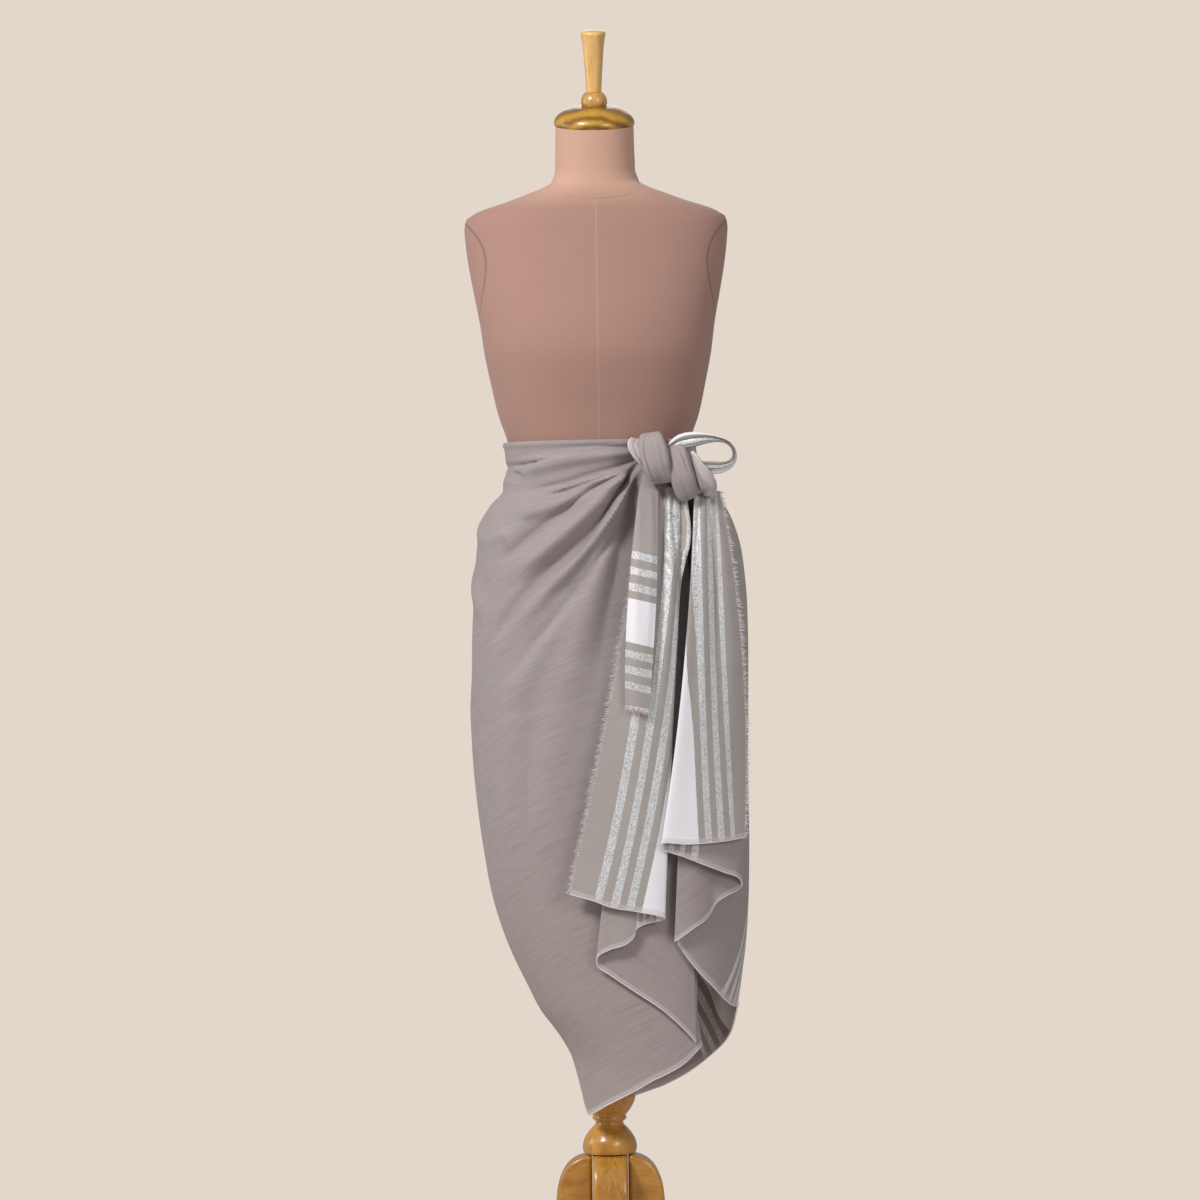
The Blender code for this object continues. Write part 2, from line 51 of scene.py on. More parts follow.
# ---- the cut of the cloth, in millimetres --------------------------------------------------
MARGIN = 35.0  # from the fringe's tips to the first stripe
STRIPE = 10.0
WHITE_BAND = 55.0
BORDER = 12 * STRIPE + WHITE_BAND  # three stripes, the white band and three stripes
SECOND_BORDER = 430.0  # from the end to the second border
SECOND_FROM = 420.0  # from here on, the second border is the one that is drawn
PLAIN_FROM = 222.0  # the cloth is plain from the first border to the second
PLAIN_SOFTNESS = 6.0
END_LIT_TO = 250.0  # painted light: the hanging ends are drawn paler, up to about here
END_LIT_BLEND = 30.0
TAIL_END = 16.0  # u at the tail's end
HEM_NARROWED = 0.5  # the knot's hems are turned, and show wider
CLOTH = 1.2  # thickness of the cloth, of its hem and of the doubled tail
HEM_THICKNESS = 2.0
TAIL_CLOTH = 2.4
HEM_BAND = 6.5  # width of the hem, and of the ease from it to the cloth
HEM_EASE = 1.5
PART_GAP = 0.3  # between the turned parts of the stand and the form

WAIST_TOP = 1125.0
FORM_BOTTOM = 780.0
FULLNESS = 2.2  # exponent of the superellipse sections
BUNDLE_FULLNESS = 3.4  # the same, for the folds of the knot
WRAP_COLUMNS = (62, 120, 156)  # of the right side, the back and the front
CREASED = 0.19  # share of the wrap's height, from its top, with the closest rows of points
CREASED_ROWS = 84
PLAIN_ROWS = 150
CLEARANCE = 3.6  # how far a trough may sink towards the form
FREE_BELOW = 60.0  # the cloth is free from this far below the form's bottom edge
WAIST_FADE = 22.0  # the creases fade out below the waist's edge, which is rolled
WAIST_ROLL = 1.6
WAIST_ROLL_HALF = 3.5
CREASE_START = 0.25  # how far each crease is faded in at its first point
PRESSED = 1.5  # exponent of a sharp trough's section; 2 is a bell
FRONT_FROM = 166.0  # angle where the front's creases start, and their blend
FRONT_BLEND = 16.0
THREADS_FROM = 40.0  # above the hem, the threads turn from it to their own lie
THREADS_BLEND = 260.0
THREADS_START = 180.0
RISE_LESS_FROM = 960.0  # near the waist the weft rises less
RISE_LESS_BLEND = 130.0
RISE_LESS = 0.7

# The space that the cloth goes round: its reach to each side at each height.
CLOTH_SECTIONS = (
    # height, x_left, x_right, y_front, y_back
    (250, -34, 165, -97, 97), (300, -40, 166, -98.5, 98.5),
    (328, -47, 167, -99.5, 99.5), (357, -63, 167.5, -101, 101),
    (390, -87, 169, -103, 102.5), (420, -102, 173, -104.5, 104),
    (475, -127, 180.5, -107, 106.5), (530, -144, 184.5, -110, 109.5),
    (600, -155.5, 186, -113.5, 113), (690, -164.3, 186.3, -117.5, 118),
    (790, -167.5, 188, -121.5, 123.5), (870, -168.5, 189, -122.5, 125.5),
    (944, -163.5, 186.5, -122, 123), (1000, -158.5, 178, -119, 117),
    (1030, -151, 167, -115, 111), (1048, -139, 158, -111.5, 106),
    (1060, -127, 150, -107.5, 102), (1075, -125, 138, -104, 98),
    (1097, -121.5, 128, -101.5, 94.5), (1125, -123.3, 124, -103.5, 95.5),
)
# The hem's height at each angle round the tube: 0 is +X, 90 the back, 180 -X, 270 the front.
HEM = (
    # angle, height
    (-70, 480), (-66, 462), (-60, 443), (-52, 425), (-40, 405), (-28, 395), (-10, 392), (2, 389),
    (20, 354), (46, 321), (75, 288), (104, 266), (125, 263), (150, 292), (168, 318), (180, 322),
    (188, 306), (196, 276), (203, 257), (212, 259), (230, 271), (256, 292), (272, 309), (286, 323),
    (303, 347),
)
FRONT_END = 303.0
RIGHT_TURN = -70.0
# The angle at which the right side's edge really lies, at each height.
RIGHT_END = (
    # height, angle
    (480, -70), (664, -65), (855, -58), (1039, -48), (1125, -50),
)
LIFT_START = -5.0  # angle from which the right side is lifted off, and over how many degrees
LIFT_RUN = 60.0
RIGHT_LIFT = (
    # height, distance out at the end
    (390, 15), (480, 15), (855, 14), (1039, 15), (1125, 9),
)
# How far the cloth's length leans from the level, as the rise of u for each mm above the hem.
LEAN = (
    # angle, lean
    (-70, 1), (-30, 0.9), (10, 0.7), (60, 0.6), (120, 0.35), (180, -0.1), (250, -0.36), (303, -0.4),
)
# How far past the second border's start the hem is, at each angle.
BORDER_PLACES = (
    # angle, distance
    (-70, -62), (-46, 0), (-20, 58), (0, 92), (20, 115), (32, 130), (43, 150), (52, 170), (62, 200),
    (120, 380), (303, 930),
)
# How far the weft rises on its way round the front, at each angle.
WEFT_RISE = (
    # angle, rise
    (-70, 0), (170, 0), (200, 14), (240, 58), (270, 96), (303, 140),
)

# Creases of the front, in the front view: soft ridges, and troughs between them.
FRONT_RIDGES = (
    # points (x, height), rise, half_width at the knot, half_width at the far end
    (((46, 1109), (5, 1105), (-40, 1100), (-90, 1090), (-122, 1080)), 7, 6, 12),
    (((34, 1084), (0, 1074), (-40, 1065), (-80, 1060)), 6, 3.5, 7),
    (((42, 1083), (4, 1063), (-40, 1047), (-90, 1034), (-122, 1034)), 10, 6, 13),
    (((38, 1086), (3, 1050), (-42, 1006), (-82, 972), (-116, 944)), 15, 6.5, 14),
    (((44, 1080), (24, 1045), (11, 1023), (-17, 984), (-47, 951), (-76, 922), (-134, 858)), 14, 3.6, 9),
    (((28, 1062), (10, 1010), (-4, 950), (-26, 870), (-50, 780)), 14, 10, 30),
    (((-30, 930), (-70, 868), (-104, 812), (-128, 766)), 5, 12, 18),
    (((60, 1050), (50, 985), (42, 900), (18, 790)), 4, 5, 14),
    (((-34, 850), (-66, 700), (-88, 520)), 5, 26, 34),
    (((34, 830), (10, 640), (-18, 430)), 3, 24, 34),
    (((-112, 780), (-122, 690), (-108, 500)), 4, 18, 26),
    (((-92, 1020), (-112, 1004), (-132, 998)), 2.5, 8, 12),
)
FRONT_TROUGHS = (
    # points (x, height), depth, half_width at the knot, half_width at the far end
    (((44, 1114), (4, 1117), (-24, 1117), (-66, 1115)), 5.5, 1.5, 2.2),
    (((-128, 1093), (-96, 1096), (-56, 1102)), 7, 3.6, 1.6),
    (((48, 1100), (27, 1091), (-8, 1081), (-41, 1071), (-62, 1067), (-96, 1061)), 13, 2, 3.6),
    (((14, 1080), (-18, 1069), (-52, 1058), (-80, 1050)), 6, 1.8, 3.4),
    (((-100, 1080), (-114, 1083), (-126, 1086)), 10, 4.5, 6),
    (((38, 1085), (-10, 1062), (-45, 1036), (-84, 1006), (-118, 980), (-140, 966)), 11, 2.4, 6),
    (
        ((51, 1095), (27, 1066), (5, 1029), (-22, 997), (-53, 973), (-94, 930), (-126, 892), (-148, 862)),
        *(21, 2.4, 6),
    ),
    (((34, 1026), (-4, 970), (-46, 914), (-92, 860), (-134, 806)), 7, 3, 9),
    (((48, 1066), (41, 1034), (33, 990), (24, 936), (4, 868), (-22, 780)), 16, 6, 24),
    (((-92, 770), (-98, 640), (-92, 520)), 3, 14, 20),
)
# Soft folds round the sides and the back, from the waist down and from the knot round the back.
SIDE_RIDGES = (
    # points (angle, height), rise, half_width at the top, half_width at the bottom
    (((-46, 1104), (0, 1097), (70, 1102), (130, 1099)), 3, 6, 9),
    (((-40, 1080), (10, 1072), (70, 1076), (118, 1066)), 3.5, 7, 12),
    (((30, 1050), (60, 1034), (90, 1006), (110, 985)), 5.5, 8, 16),
    (((26, 1010), (48, 966), (68, 905), (76, 850)), 6.5, 9, 20),
    (((20, 960), (30, 880), (38, 780)), 4.5, 10, 22),
    (((224, 1010), (206, 1000), (184, 1012), (160, 1030)), 3.5, 10, 14),
    (((206, 905), (190, 930), (168, 960), (146, 1000)), 5, 13, 18),
    (((184, 830), (172, 660), (166, 450), (172, 322)), 5, 16, 22),
    (((150, 940), (148, 760), (144, 560), (146, 290)), 8, 14, 26),
    (((122, 900), (118, 700), (120, 480), (122, 262)), 7, 15, 24),
    (((98, 860), (92, 640), (94, 430), (97, 268)), 9, 16, 22),
    (((70, 760), (66, 600), (70, 420), (72, 292)), 8, 17, 26),
    (((44, 700), (42, 560), (46, 440), (50, 318)), 8, 16, 22),
    (((14, 720), (12, 600), (16, 480), (22, 352)), 4, 16, 20),
    (((-24, 960), (-22, 840), (-18, 700), (-20, 560)), 3, 10, 18),
)
SIDE_TROUGHS = (
    # points (angle, height), depth, half_width at the top, half_width at the bottom
    (((-44, 1092), (-10, 1084), (50, 1090), (90, 1086)), 3, 3, 6),
    (((-30, 1058), (16, 1030), (50, 1002), (84, 950)), 4, 4, 10),
    (((136, 1010), (134, 850), (132, 640), (134, 470)), 4, 9, 16),
    (((110, 960), (105, 800), (106, 600)), 3.5, 9, 14),
    (((84, 900), (80, 720), (83, 500), (84, 300)), 5, 9, 15),
    (((58, 760), (55, 600), (58, 420), (61, 330)), 4.5, 10, 14),
    (((30, 700), (27, 560), (32, 420), (36, 340)), 4, 10, 14),
    (((160, 760), (157, 600), (155, 440), (158, 310)), 4, 10, 14),
)
MM_PER_DEGREE = 2.7  # round the tube, for the widths of the side folds

# Lines of the cloth that hang from the knot, as x, height and distance out from the tube, at
# the knot, half way down and at the hem. Between them the cloth is a smooth sheet.
LEFT_RIBS = (
    # name, x, z, distance out and u at the knot, the same half way down, and at the hem
    ("fringe_edge", 60, 1062, 16, 22, 13, 805, 22, 7, -46, 546, 26, 7),
    ("panel_a", 68, 1062, 18, 38, 33, 803, 23, 29, -18, 538, 27, 34),
    ("panel_b", 79, 1062, 20, 52, 50, 800, 24, 45, 6, 529, 28, 57),
    ("panel_c", 92, 1062, 22, 60, 69, 796, 25, 65, 39, 523, 28, 90),
    ("panel_d", 103, 1062, 24, 72, 84, 793, 25, 81, 66, 517, 28, 117),
    ("right_fold_out", 109, 1062, 23, 86, 90, 791, 24, 90, 74, 514, 25, 126),
    ("right_fold_in", 107, 1062, 19, 90, 88, 787, 19, 95, 71, 511, 20, 132),
    ("roll_a", 99, 1062, 17, 100, 77, 784, 16, 140, 49, 506, 17, 184),
    ("roll_b", 92, 1062, 16, 110, 67, 780, 15, 165, 38, 500, 17, 206),
    ("roll_c", 87, 1062, 15, 120, 60, 773, 15, 190, 34, 489, 18, 220),
    ("roll_d", 81, 1062, 14, 130, 53, 771, 16, 215, 24, 481, 20, 232),
    ("roll_e", 75, 1062, 13, 145, 38, 766, 15, 240, 3, 474, 19, 252),
    ("left_fold_out", 69, 1062, 11, 160, 25, 760, 13, 258, -13, 463, 15, 268),
    ("left_fold_in", 69, 1062, 7, 164, 26, 757, 9, 264, -13, 455, 10, 274),
    ("under_a", 72, 1062, 7, 175, 43, 749, 7, 284, 5, 440, 8, 294),
    ("under_b", 76, 1062, 7, 185, 62, 741, 6, 316, 35, 419, 7, 326),
    ("under_c", 80, 1062, 7, 195, 82, 731, 6, 350, 68, 396, 6, 362),
    ("under_d", 84, 1062, 7, 205, 98, 715, 6, 384, 98, 368, 6, 396),
    ("turn_under", 88, 1062, 6, 215, 105, 707, 4, 400, 112, 352, 5, 412),
)
RIGHT_RIBS = (
    ("left_turn_out", 124, 1046, 23, 222, 103, 765, 21, 330, 86, 483, 21, 366),
    ("roll_a", 128, 1046, 26, 216, 112, 767, 23, 322, 94, 488, 24, 357),
    ("roll_b", 131, 1047, 28, 208, 126, 774, 23, 305, 111, 500, 26, 339),
    ("roll_c", 134, 1048, 29, 200, 138, 779, 21, 292, 126, 510, 23, 323),
    ("roll_d", 137, 1049, 30, 192, 145, 784, 20, 284, 134, 520, 20, 314),
    ("roll_e", 140, 1050, 31, 184, 151, 789, 20, 276, 141, 531, 20, 306),
    ("roll_f", 143, 1051, 33, 176, 161, 794, 21, 264, 152, 538, 22, 294),
    ("right_fold_in", 146, 1052, 36, 160, 176, 802, 24, 240, 174, 552, 27, 272),
    ("right_fold_out", 146, 1052, 40, 156, 176, 806, 28, 236, 172, 559, 32, 268),
    ("shelf_a", 140, 1052, 39, 140, 157, 811, 30, 212, 151, 570, 34, 246),
    ("shelf_b", 134, 1052, 37, 124, 137, 816, 31, 186, 127, 580, 35, 222),
    ("shelf_c", 127, 1052, 34, 104, 117, 822, 31, 150, 99, 592, 35, 190),
    ("shelf_fold_in", 121, 1052, 32, 88, 103, 826, 32, 106, 73, 603, 36, 150),
    ("shelf_fold_out", 120, 1052, 36, 84, 103, 829, 36, 101, 71, 608, 40, 143),
    ("panel_a", 128, 1054, 40, 74, 121, 831, 37, 85, 105, 608, 42, 110),
    ("panel_b", 136, 1055, 43, 65, 137, 832, 38, 65, 136, 609, 42, 75),
    ("panel_c", 147, 1056, 45, 42, 158, 834, 38, 35, 166, 612, 42, 35),
    ("fringe_edge", 152, 1057, 46, 20, 178, 836, 39, 7, 177, 614, 42, 7),
)
TAIL_RIBS = (
    ("left_edge", 54, 1082, 21, 34, 926, 32, 28, 788, 33),
    ("middle", 62, 1078, 23, 52, 926, 36, 43, 785, 37),
    ("right_edge", 74, 1070, 23, 69, 926, 32, 58, 782, 34),
)
TAIL_LEAN = 0.25  # slope of the tail's stripes, down to the right
TAIL_V = 300.0  # far from any hem

RIB_SPACING = 2.4  # between the columns of points of an end, and of the tail
TAIL_SPACING = 1.5
LEFT_ROWS = 190
RIGHT_ROWS = 170
TAIL_ROWS = 130

# Soft folds along the hanging ends, and sharp troughs pressed into them, in the front view.
LEFT_FOLDS = (
    # points (x, height), rise, half_width at the top, half_width at the bottom
    (((88, 1062), (88, 1010), (90, 950), (84, 880), (74, 800), (56, 700)), 4.6, 4, 10),
    (((108, 1062), (112, 1030), (117, 1004), (112, 975), (100, 900)), 4, 4, 7),
    (((74, 1062), (68, 930), (46, 780), (30, 650)), 2, 4, 12),
    (((60, 800), (44, 680), (30, 560)), 1.6, 7, 16),
)
LEFT_PRESSED = (
    (((103, 1062), (103, 1030), (102, 990), (101, 940), (98, 890)), 5.5, 2.2, 3),
    (((78, 1062), (82, 1036), (79, 1002), (76, 960), (66, 880)), 4, 2.2, 4),
    (((94, 1056), (91, 1024), (95, 985), (92, 930)), 2.6, 1.6, 2.2),
    (((104, 1007), (109, 982), (108, 958), (102, 925)), 3, 2, 2.6),
)
RIGHT_FOLDS = (
    (((131, 1054), (129, 960), (128, 830), (120, 700)), 2.6, 4, 12),
    (((144, 1054), (158, 960), (164, 830), (160, 680)), 2, 5, 12),
)
RIGHT_PRESSED = (
    (((139, 1054), (143, 990), (147, 900), (146, 800)), 2.2, 2.2, 5),
    (((126, 1054), (122, 1000), (116, 930)), 2, 2, 4),
)
TAIL_FOLDS = (
    (((52, 1066), (46, 960), (38, 800)), 1.6, 3, 6),
    (((66, 1060), (64, 960), (54, 830)), 1.2, 3, 5),
)

# The gathers under the knot swing to the right, and their cloth is crinkled.
SWAY = 10.0
SWAY_HEIGHT = 1000.0
SWAY_HALF = 42.0
SWAY_X = 84.0
SWAY_BLEND = 20.0
CRINKLE = 0.8
CRINKLE_ABOVE = 880.0
CRINKLE_X = 90.0
CRINKLE_HALF = 13.0

# The threads of the fringes.
THREAD_SIDES = 3
THREAD_STATIONS = (-0.2, 0.3, 0.65, 1.0)  # shares of the length; the root is inside the cloth
THREAD_RADII = (0.42, 0.42, 0.36, 0.16)
THREAD_LENGTHS = (0.5, 1.15)  # shortest and longest, as shares of the fringe's reach
END_FRINGE = {"reach": 7.5, "spacing": 0.7, "droop": 0.25}
TAIL_FRINGE = {"reach": 8.0, "spacing": 0.3, "droop": 0.0}

# Folds of the knot, each a bundle of cloth along a path: its centre and half sizes.
KNOT_WRAP = (
    (65, -128, 1132, 11, 5), (66, -136, 1125, 15.5, 12), (69, -141, 1108, 19, 17),
    (73.5, -143, 1090, 18, 18), (78, -140, 1075, 15, 15), (79, -136, 1067, 13, 10),
)
KNOT_TUCK = (
    (47, -124, 1125, 6, 6), (45.5, -130, 1117, 9.5, 10), (49, -133, 1105, 7.5, 12),
    (55, -134, 1094, 5, 11), (59, -131, 1081, 1.2, 3),
)
KNOT_FOLD_INNER = (
    (97, -128, 1116, 9, 6), (98.5, -134, 1107, 12.5, 13), (101.5, -138, 1090, 14.5, 16),
    (106, -139, 1071, 16, 16), (111, -136, 1054, 14, 12), (114.5, -132, 1046, 10, 7),
)
KNOT_FOLD_OUTER = (
    (117, -123, 1107, 3, 5), (121, -128, 1100, 5, 9), (126, -132, 1088, 8, 13),
    (132, -134, 1076, 11, 14), (137, -133, 1064, 12, 13), (138, -131, 1055, 10, 9),
    (136, -129, 1050, 5, 5),
)
KNOT_LOOP = (
    # x, y, z, half_width (front to back), half_thickness
    (90, -108, 1113, 7, 5), (102, -112, 1119, 8, 9), (116, -115, 1122, 9, 10),
    (134, -116, 1124, 9, 7), (150, -116, 1123, 8.5, 3.8), (163, -115, 1119, 8, 2.4),
    (171, -113, 1110, 8, 2.4), (172, -112, 1099, 8, 3.4), (166, -111, 1091, 8.5, 5.5),
    (154, -109, 1087, 8.5, 7.5), (140, -107, 1087, 8, 8.5), (126, -105, 1087, 7, 8),
)

BUNDLE_ROWS = 90
BUNDLE_SIDES = 190
GROOVE_FADE = 0.12  # share of the length over which a crease starts or ends
LAP_RUN = 6.0  # how fast the cloth beside a lap falls back
LEAST_HALF = 3.0
KNOT_V = 200.0  # far from any hem
KNOT_U = PLAIN_FROM + 20

# Creases along the folds of the knot, and the turns that the hems follow.
WRAP_CREASES = (
    # turn at the start, half way and at the end, depth, half_width, lap, share of the length from, to
    (34, 26, 14, 3, 1.3, 1.6, 0.1, 0.95),
    (70, 58, 50, 2.2, 0.9, 0.9, 0, 0.8),
    (150, 155, 160, 2.4, 1.1, -1.2, 0, 0.75),
    (112, 106, 98, 0.7, 3, 0, 0.3, 0.9),
    (215, 220, 226, 1.6, 1.6, 1, 0, 1),
    (305, 300, 310, 1.6, 1.6, 1, 0, 1),
)
TUCK_CREASES = (
    (92, 84, 76, 2.2, 1.1, 1.2, 0, 0.9),
    (140, 132, 120, 1.6, 1, 0.8, 0.2, 1),
)
INNER_CREASES = (
    (92, 112, 128, 2, 1, 1, 0.05, 0.5),
    (52, 60, 70, 0.8, 3, 0, 0.3, 0.9),
    (160, 150, 140, 1.4, 1.6, 0, 0.5, 0.95),
    (230, 222, 214, 1.6, 1.6, 1, 0, 1),
)
OUTER_CREASES = (
    (60, 72, 84, 1.2, 2.6, 0, 0.1, 0.7),
    (126, 148, 184, 2.4, 1.2, -1.4, 0.05, 0.9),
    (240, 236, 230, 1.6, 1.6, 1, 0, 1),
)
TUCK_HEM = (14, 24, 40)
OUTER_HEM = (118, 140, 176)
LOOP_MARKS = (108, 60)  # u across the face of the loop
LOOP_CREASES = (
    (30, 24, 20, 2.2, 0.9, 1.2, 0, 1),
    (352, 356, 344, 2, 0.9, -1, 0, 1),
    (312, 320, 318, 1.8, 1, 0.8, 0, 0.5),
    (180, 172, 186, 1.6, 1.4, 1, 0, 1),
)

FORM_SECTIONS = (
    # height, half_width, y_front, y_back
    (780, 161, -114, 116), (830, 163.5, -117, 120), (870, 164, -118, 121), (920, 160, -117, 119),
    (970, 152, -113, 111), (1015, 139, -107, 102), (1055, 119.5, -100, 94), (1095, 116, -96, 90),
    (1125, 118.5, -98, 91), (1160, 130, -104, 94), (1200, 139, -113, 100), (1240, 147, -119, 105),
    (1280, 152.5, -113, 108), (1320, 160, -100, 109), (1360, 167, -86, 106),
    (1390, 170.5, -76, 100), (1408, 171, -70, 94), (1419, 167, -65, 88), (1428, 150, -60, 82),
    (1438, 119, -56, 76), (1449, 89, -53, 69), (1460, 62, -51, 61), (1472, 54, -50, 55),
    (1492, 51.8, -50.5, 53), (1512, 51.2, -52, 50.5), (1537, 50.8, -54, 47.6),
)
NECK_TOP = 1537.0
NECK_TILT = 13.0
SLANT_START = 1450.0
NECK_SEAM_FRONT = 1436.0
NECK_SEAM_SIDE = 1463.0
PLATE_Y = 12.0  # centre and half sizes of the plates over the arms' stumps
PLATE_Z = 1345.0
PLATE_HALF_DEPTH = 58.0
PLATE_HALF_HEIGHT = 68.0
COVER_SIDES = 140
SEAM_BAND = (1425.0, 1475.0)  # closer rows of points round the neck's seam
SEAM_DEPTH = 1.1
SEAM_HALF = 1.3
SEAM_CURVE = 1.6
POLE_RADIUS = 12.5
POLE_FOOT = 289.3
POLE_CHAMFER = 0.6
POST_FOOT = 202.0
LEG_WIDTH = 46.0
LEG_SPACING = 6.0  # of the points on the leg's curves
LEG_ROUNDING = 5.0
LEG_ROUNDED_FROM = 60  # degrees between faces
HUB_SIDE = 46.0
HUB_FOOT = 62.0
HUB_BEVEL = 1.2
SMALLEST_RADIUS = 0.05
TURNED_SHARP, HUB_SHARP, LEG_SHARP = 38, 40, 30  # degrees from which an edge is drawn sharp

# Turned profiles, radius and height, from the axis at the bottom to the axis at the top.
CAP_PROFILE = ((0, 0), (51.5, 0), (52.5, 2), (52.3, 6), (49, 12), (42, 18), (31, 23), (17, 25), (0, 25.6))
BALL_PROFILE = ((0, 25.3), (16.0, 25.3), (17.2, 29), (17.0, 33), (14.6, 39), (11.2, 43), (0, 43))
GRIP_PROFILE = (
    (0, 43.3), (9.8, 43.3), (11.6, 72), (16.0, 116), (16.5, 118.5), (15.4, 120.8), (10, 122.8),
    (0, 123.5),
)
POST_PROFILE = (
    (0, 202), (33.5, 202), (34.9, 206.5), (35, 212), (33.8, 218), (30, 225.6), (24, 233.4),
    (18.6, 239.5), (17.8, 242.5), (20.5, 244.6), (22.3, 247.7), (21.2, 250.4), (24, 254), (29.5, 262),
    (33.4, 271), (34.4, 279), (32, 285), (24, 289), (0, 289),
)
LEG_OUTLINE = (
    (23.6, 201.5), (42, 197), (54, 188.7), (64, 172), (69, 154), (71, 134), (78, 108), (98, 79),
    (135, 55), (185, 40), (228, 33), (241, 26), (245, 14), (243, 0), (206, 0), (200, 7), (165, 13),
    (120, 24), (80, 42), (50, 64), (23.6, 84),
)
LEG_CORNERS = (0, 13, 14, 20)  # rows of the outline that stay sharp

random = np.random.default_rng(7)


# ---- curves and forms ----------------------------------------------------------------------
def smooth_through(places, values, at):
    """A smooth curve through values at rising places, read at an array of places."""
    steps = np.diff(places)
    slopes = np.diff(values) / steps
    tangents = np.empty(len(places))
    tangents[1:-1] = (slopes[:-1] * steps[1:] + slopes[1:] * steps[:-1]) / (steps[1:] + steps[:-1])
    tangents[0], tangents[-1] = slopes[0], slopes[-1]
    at = np.clip(at, places[0], places[-1])
    row = np.clip(np.searchsorted(places, at) - 1, 0, len(steps) - 1)
    t = (at - places[row]) / steps[row]
    return (
        values[row] * (1 + 2 * t) * (1 - t) ** 2
        + values[row + 1] * t * t * (3 - 2 * t)
        + steps[row] * t * (1 - t) * (tangents[row] * (1 - t) - tangents[row + 1] * t)
    )


def through(table, at, column=1):
    """The same through a table's rows: its first column is the place."""
    places = np.array([row[0] for row in table], float)
    values = np.array([row[column] for row in table], float)
    return smooth_through(places, values, np.asarray(at, float))


def ease(t):
    """0 to 1 with level ends."""
    t = np.clip(t, 0.0, 1.0)
    return t * t * (3 - 2 * t)


def tube_section(height, out):
    """Centre and half sizes of the cloth's section at a height, moved out all round."""
    x_left, x_right, y_front, y_back = (through(CLOTH_SECTIONS, height, i) for i in (1, 2, 3, 4))
    return (
        (x_left + x_right) / 2,
        (y_front + y_back) / 2,
        (x_right - x_left) / 2 + out,
        (y_back - y_front) / 2 + out,
    )


def power(value, exponent):
    return np.sign(value) * np.abs(value) ** exponent


def tube_point(angle, height, out):
    """Points of the tube at angles in degrees."""
    centre_x, centre_y, half_x, half_y = tube_section(height, out)
    turn = np.radians(angle)
    x = centre_x + half_x * power(np.cos(turn), 2 / FULLNESS)
    y = centre_y + half_y * power(np.sin(turn), 2 / FULLNESS)
    return np.stack((x, y, height), axis=-1)


def front_point(x, height, out):
    """Points of the tube's front at x, moved out from it."""
    centre_x, centre_y, half_x, half_y = tube_section(height, out)
    across = np.minimum(np.abs(x - centre_x) / half_x, 0.999)
    y = centre_y - half_y * (1 - across**FULLNESS) ** (1 / FULLNESS)
    return np.stack((x, y, height), axis=-1)


def smooth_columns(places, rows, at):
    """The same through the columns of an array, with one row for each place read."""
    return np.stack([smooth_through(places, column, at) for column in rows.T], axis=1)


def smooth_line(points, count=28):
    """Many rows on a smooth curve through a few."""
    points = np.array(points, float)
    places = np.arange(len(points), dtype=float)
    return smooth_columns(places, points, np.linspace(0, len(points) - 1, count))


def lengths_along(points):
    """Distance along a polyline, from its first point to each."""
    return np.concatenate([[0], np.cumsum(np.linalg.norm(np.diff(points, axis=0), axis=1))])


def nearest(x, z, line):
    """Distance from each place to a line, and how far along the line that is, from 0 to 1."""
    best = np.full(x.shape, np.inf)
    along = np.zeros(x.shape)
    for k, (start, end) in enumerate(zip(line, line[1:])):
        run = end - start
        t = np.clip(((x - start[0]) * run[0] + (z - start[1]) * run[1]) / (run @ run), 0, 1)
        distance = np.hypot(x - start[0] - t * run[0], z - start[1] - t * run[1])
        closer = distance < best
        best[closer] = distance[closer]
        along[closer] = ((k + t) / (len(line) - 1))[closer]
    return best, along


def creases(x, z, rows, fade_in=0.16, fade_out=0.34, sharpness=2.0):
    """The sum of soft ridges along lines, each with a rise and a width at either end."""
    total = np.zeros(x.shape)
    for points, rise, width_start, width_end in rows:
        distance, along = nearest(x, z, smooth_line(points))
        width = width_start + (width_end - width_start) * along
        fade = ease(along / fade_in + CREASE_START) * ease((1 - along) / fade_out)
        total += rise * fade * np.exp(-((distance / width) ** sharpness))
    return total


def soft_floor(value, lowest, softness=1.0):
    """Keeps a value above a lowest one, with a rounded corner."""
    return lowest + softness * np.logaddexp(0, (value - lowest) / softness)


# ---- making meshes -------------------------------------------------------------------------
def add_object(name, mesh, material, smooth_angle=60):
    made = bpy.data.objects.new(name, mesh)
    bpy.context.scene.collection.objects.link(made)
    mesh.materials.append(material)
    mesh.shade_smooth()
    mesh.set_sharp_from_angle(angle=math.radians(smooth_angle))
    return made


def mesh_of(work, name, mesh=None):
    """The mesh that a finished bmesh makes."""
    mesh = mesh or bpy.data.meshes.new(name)
    work.to_mesh(mesh)
    work.free()
    return mesh


def set_cloth_coordinates(mesh, coordinates):
    """Gives each vertex its cloth coordinates, in metres, as a UV map."""
    layer = mesh.uv_layers.new(name="cloth")
    index = np.empty(len(mesh.loops), np.int32)
    mesh.loops.foreach_get("vertex_index", index)
    layer.data.foreach_set("uv", (coordinates[index] * MM).astype(np.float32).ravel())


def grid_normals(points):
    down = np.gradient(points, axis=0)
    across = np.gradient(points, axis=1)
    normals = np.cross(down, across)
    return normals / np.maximum(np.linalg.norm(normals, axis=2, keepdims=True), 1e-9)


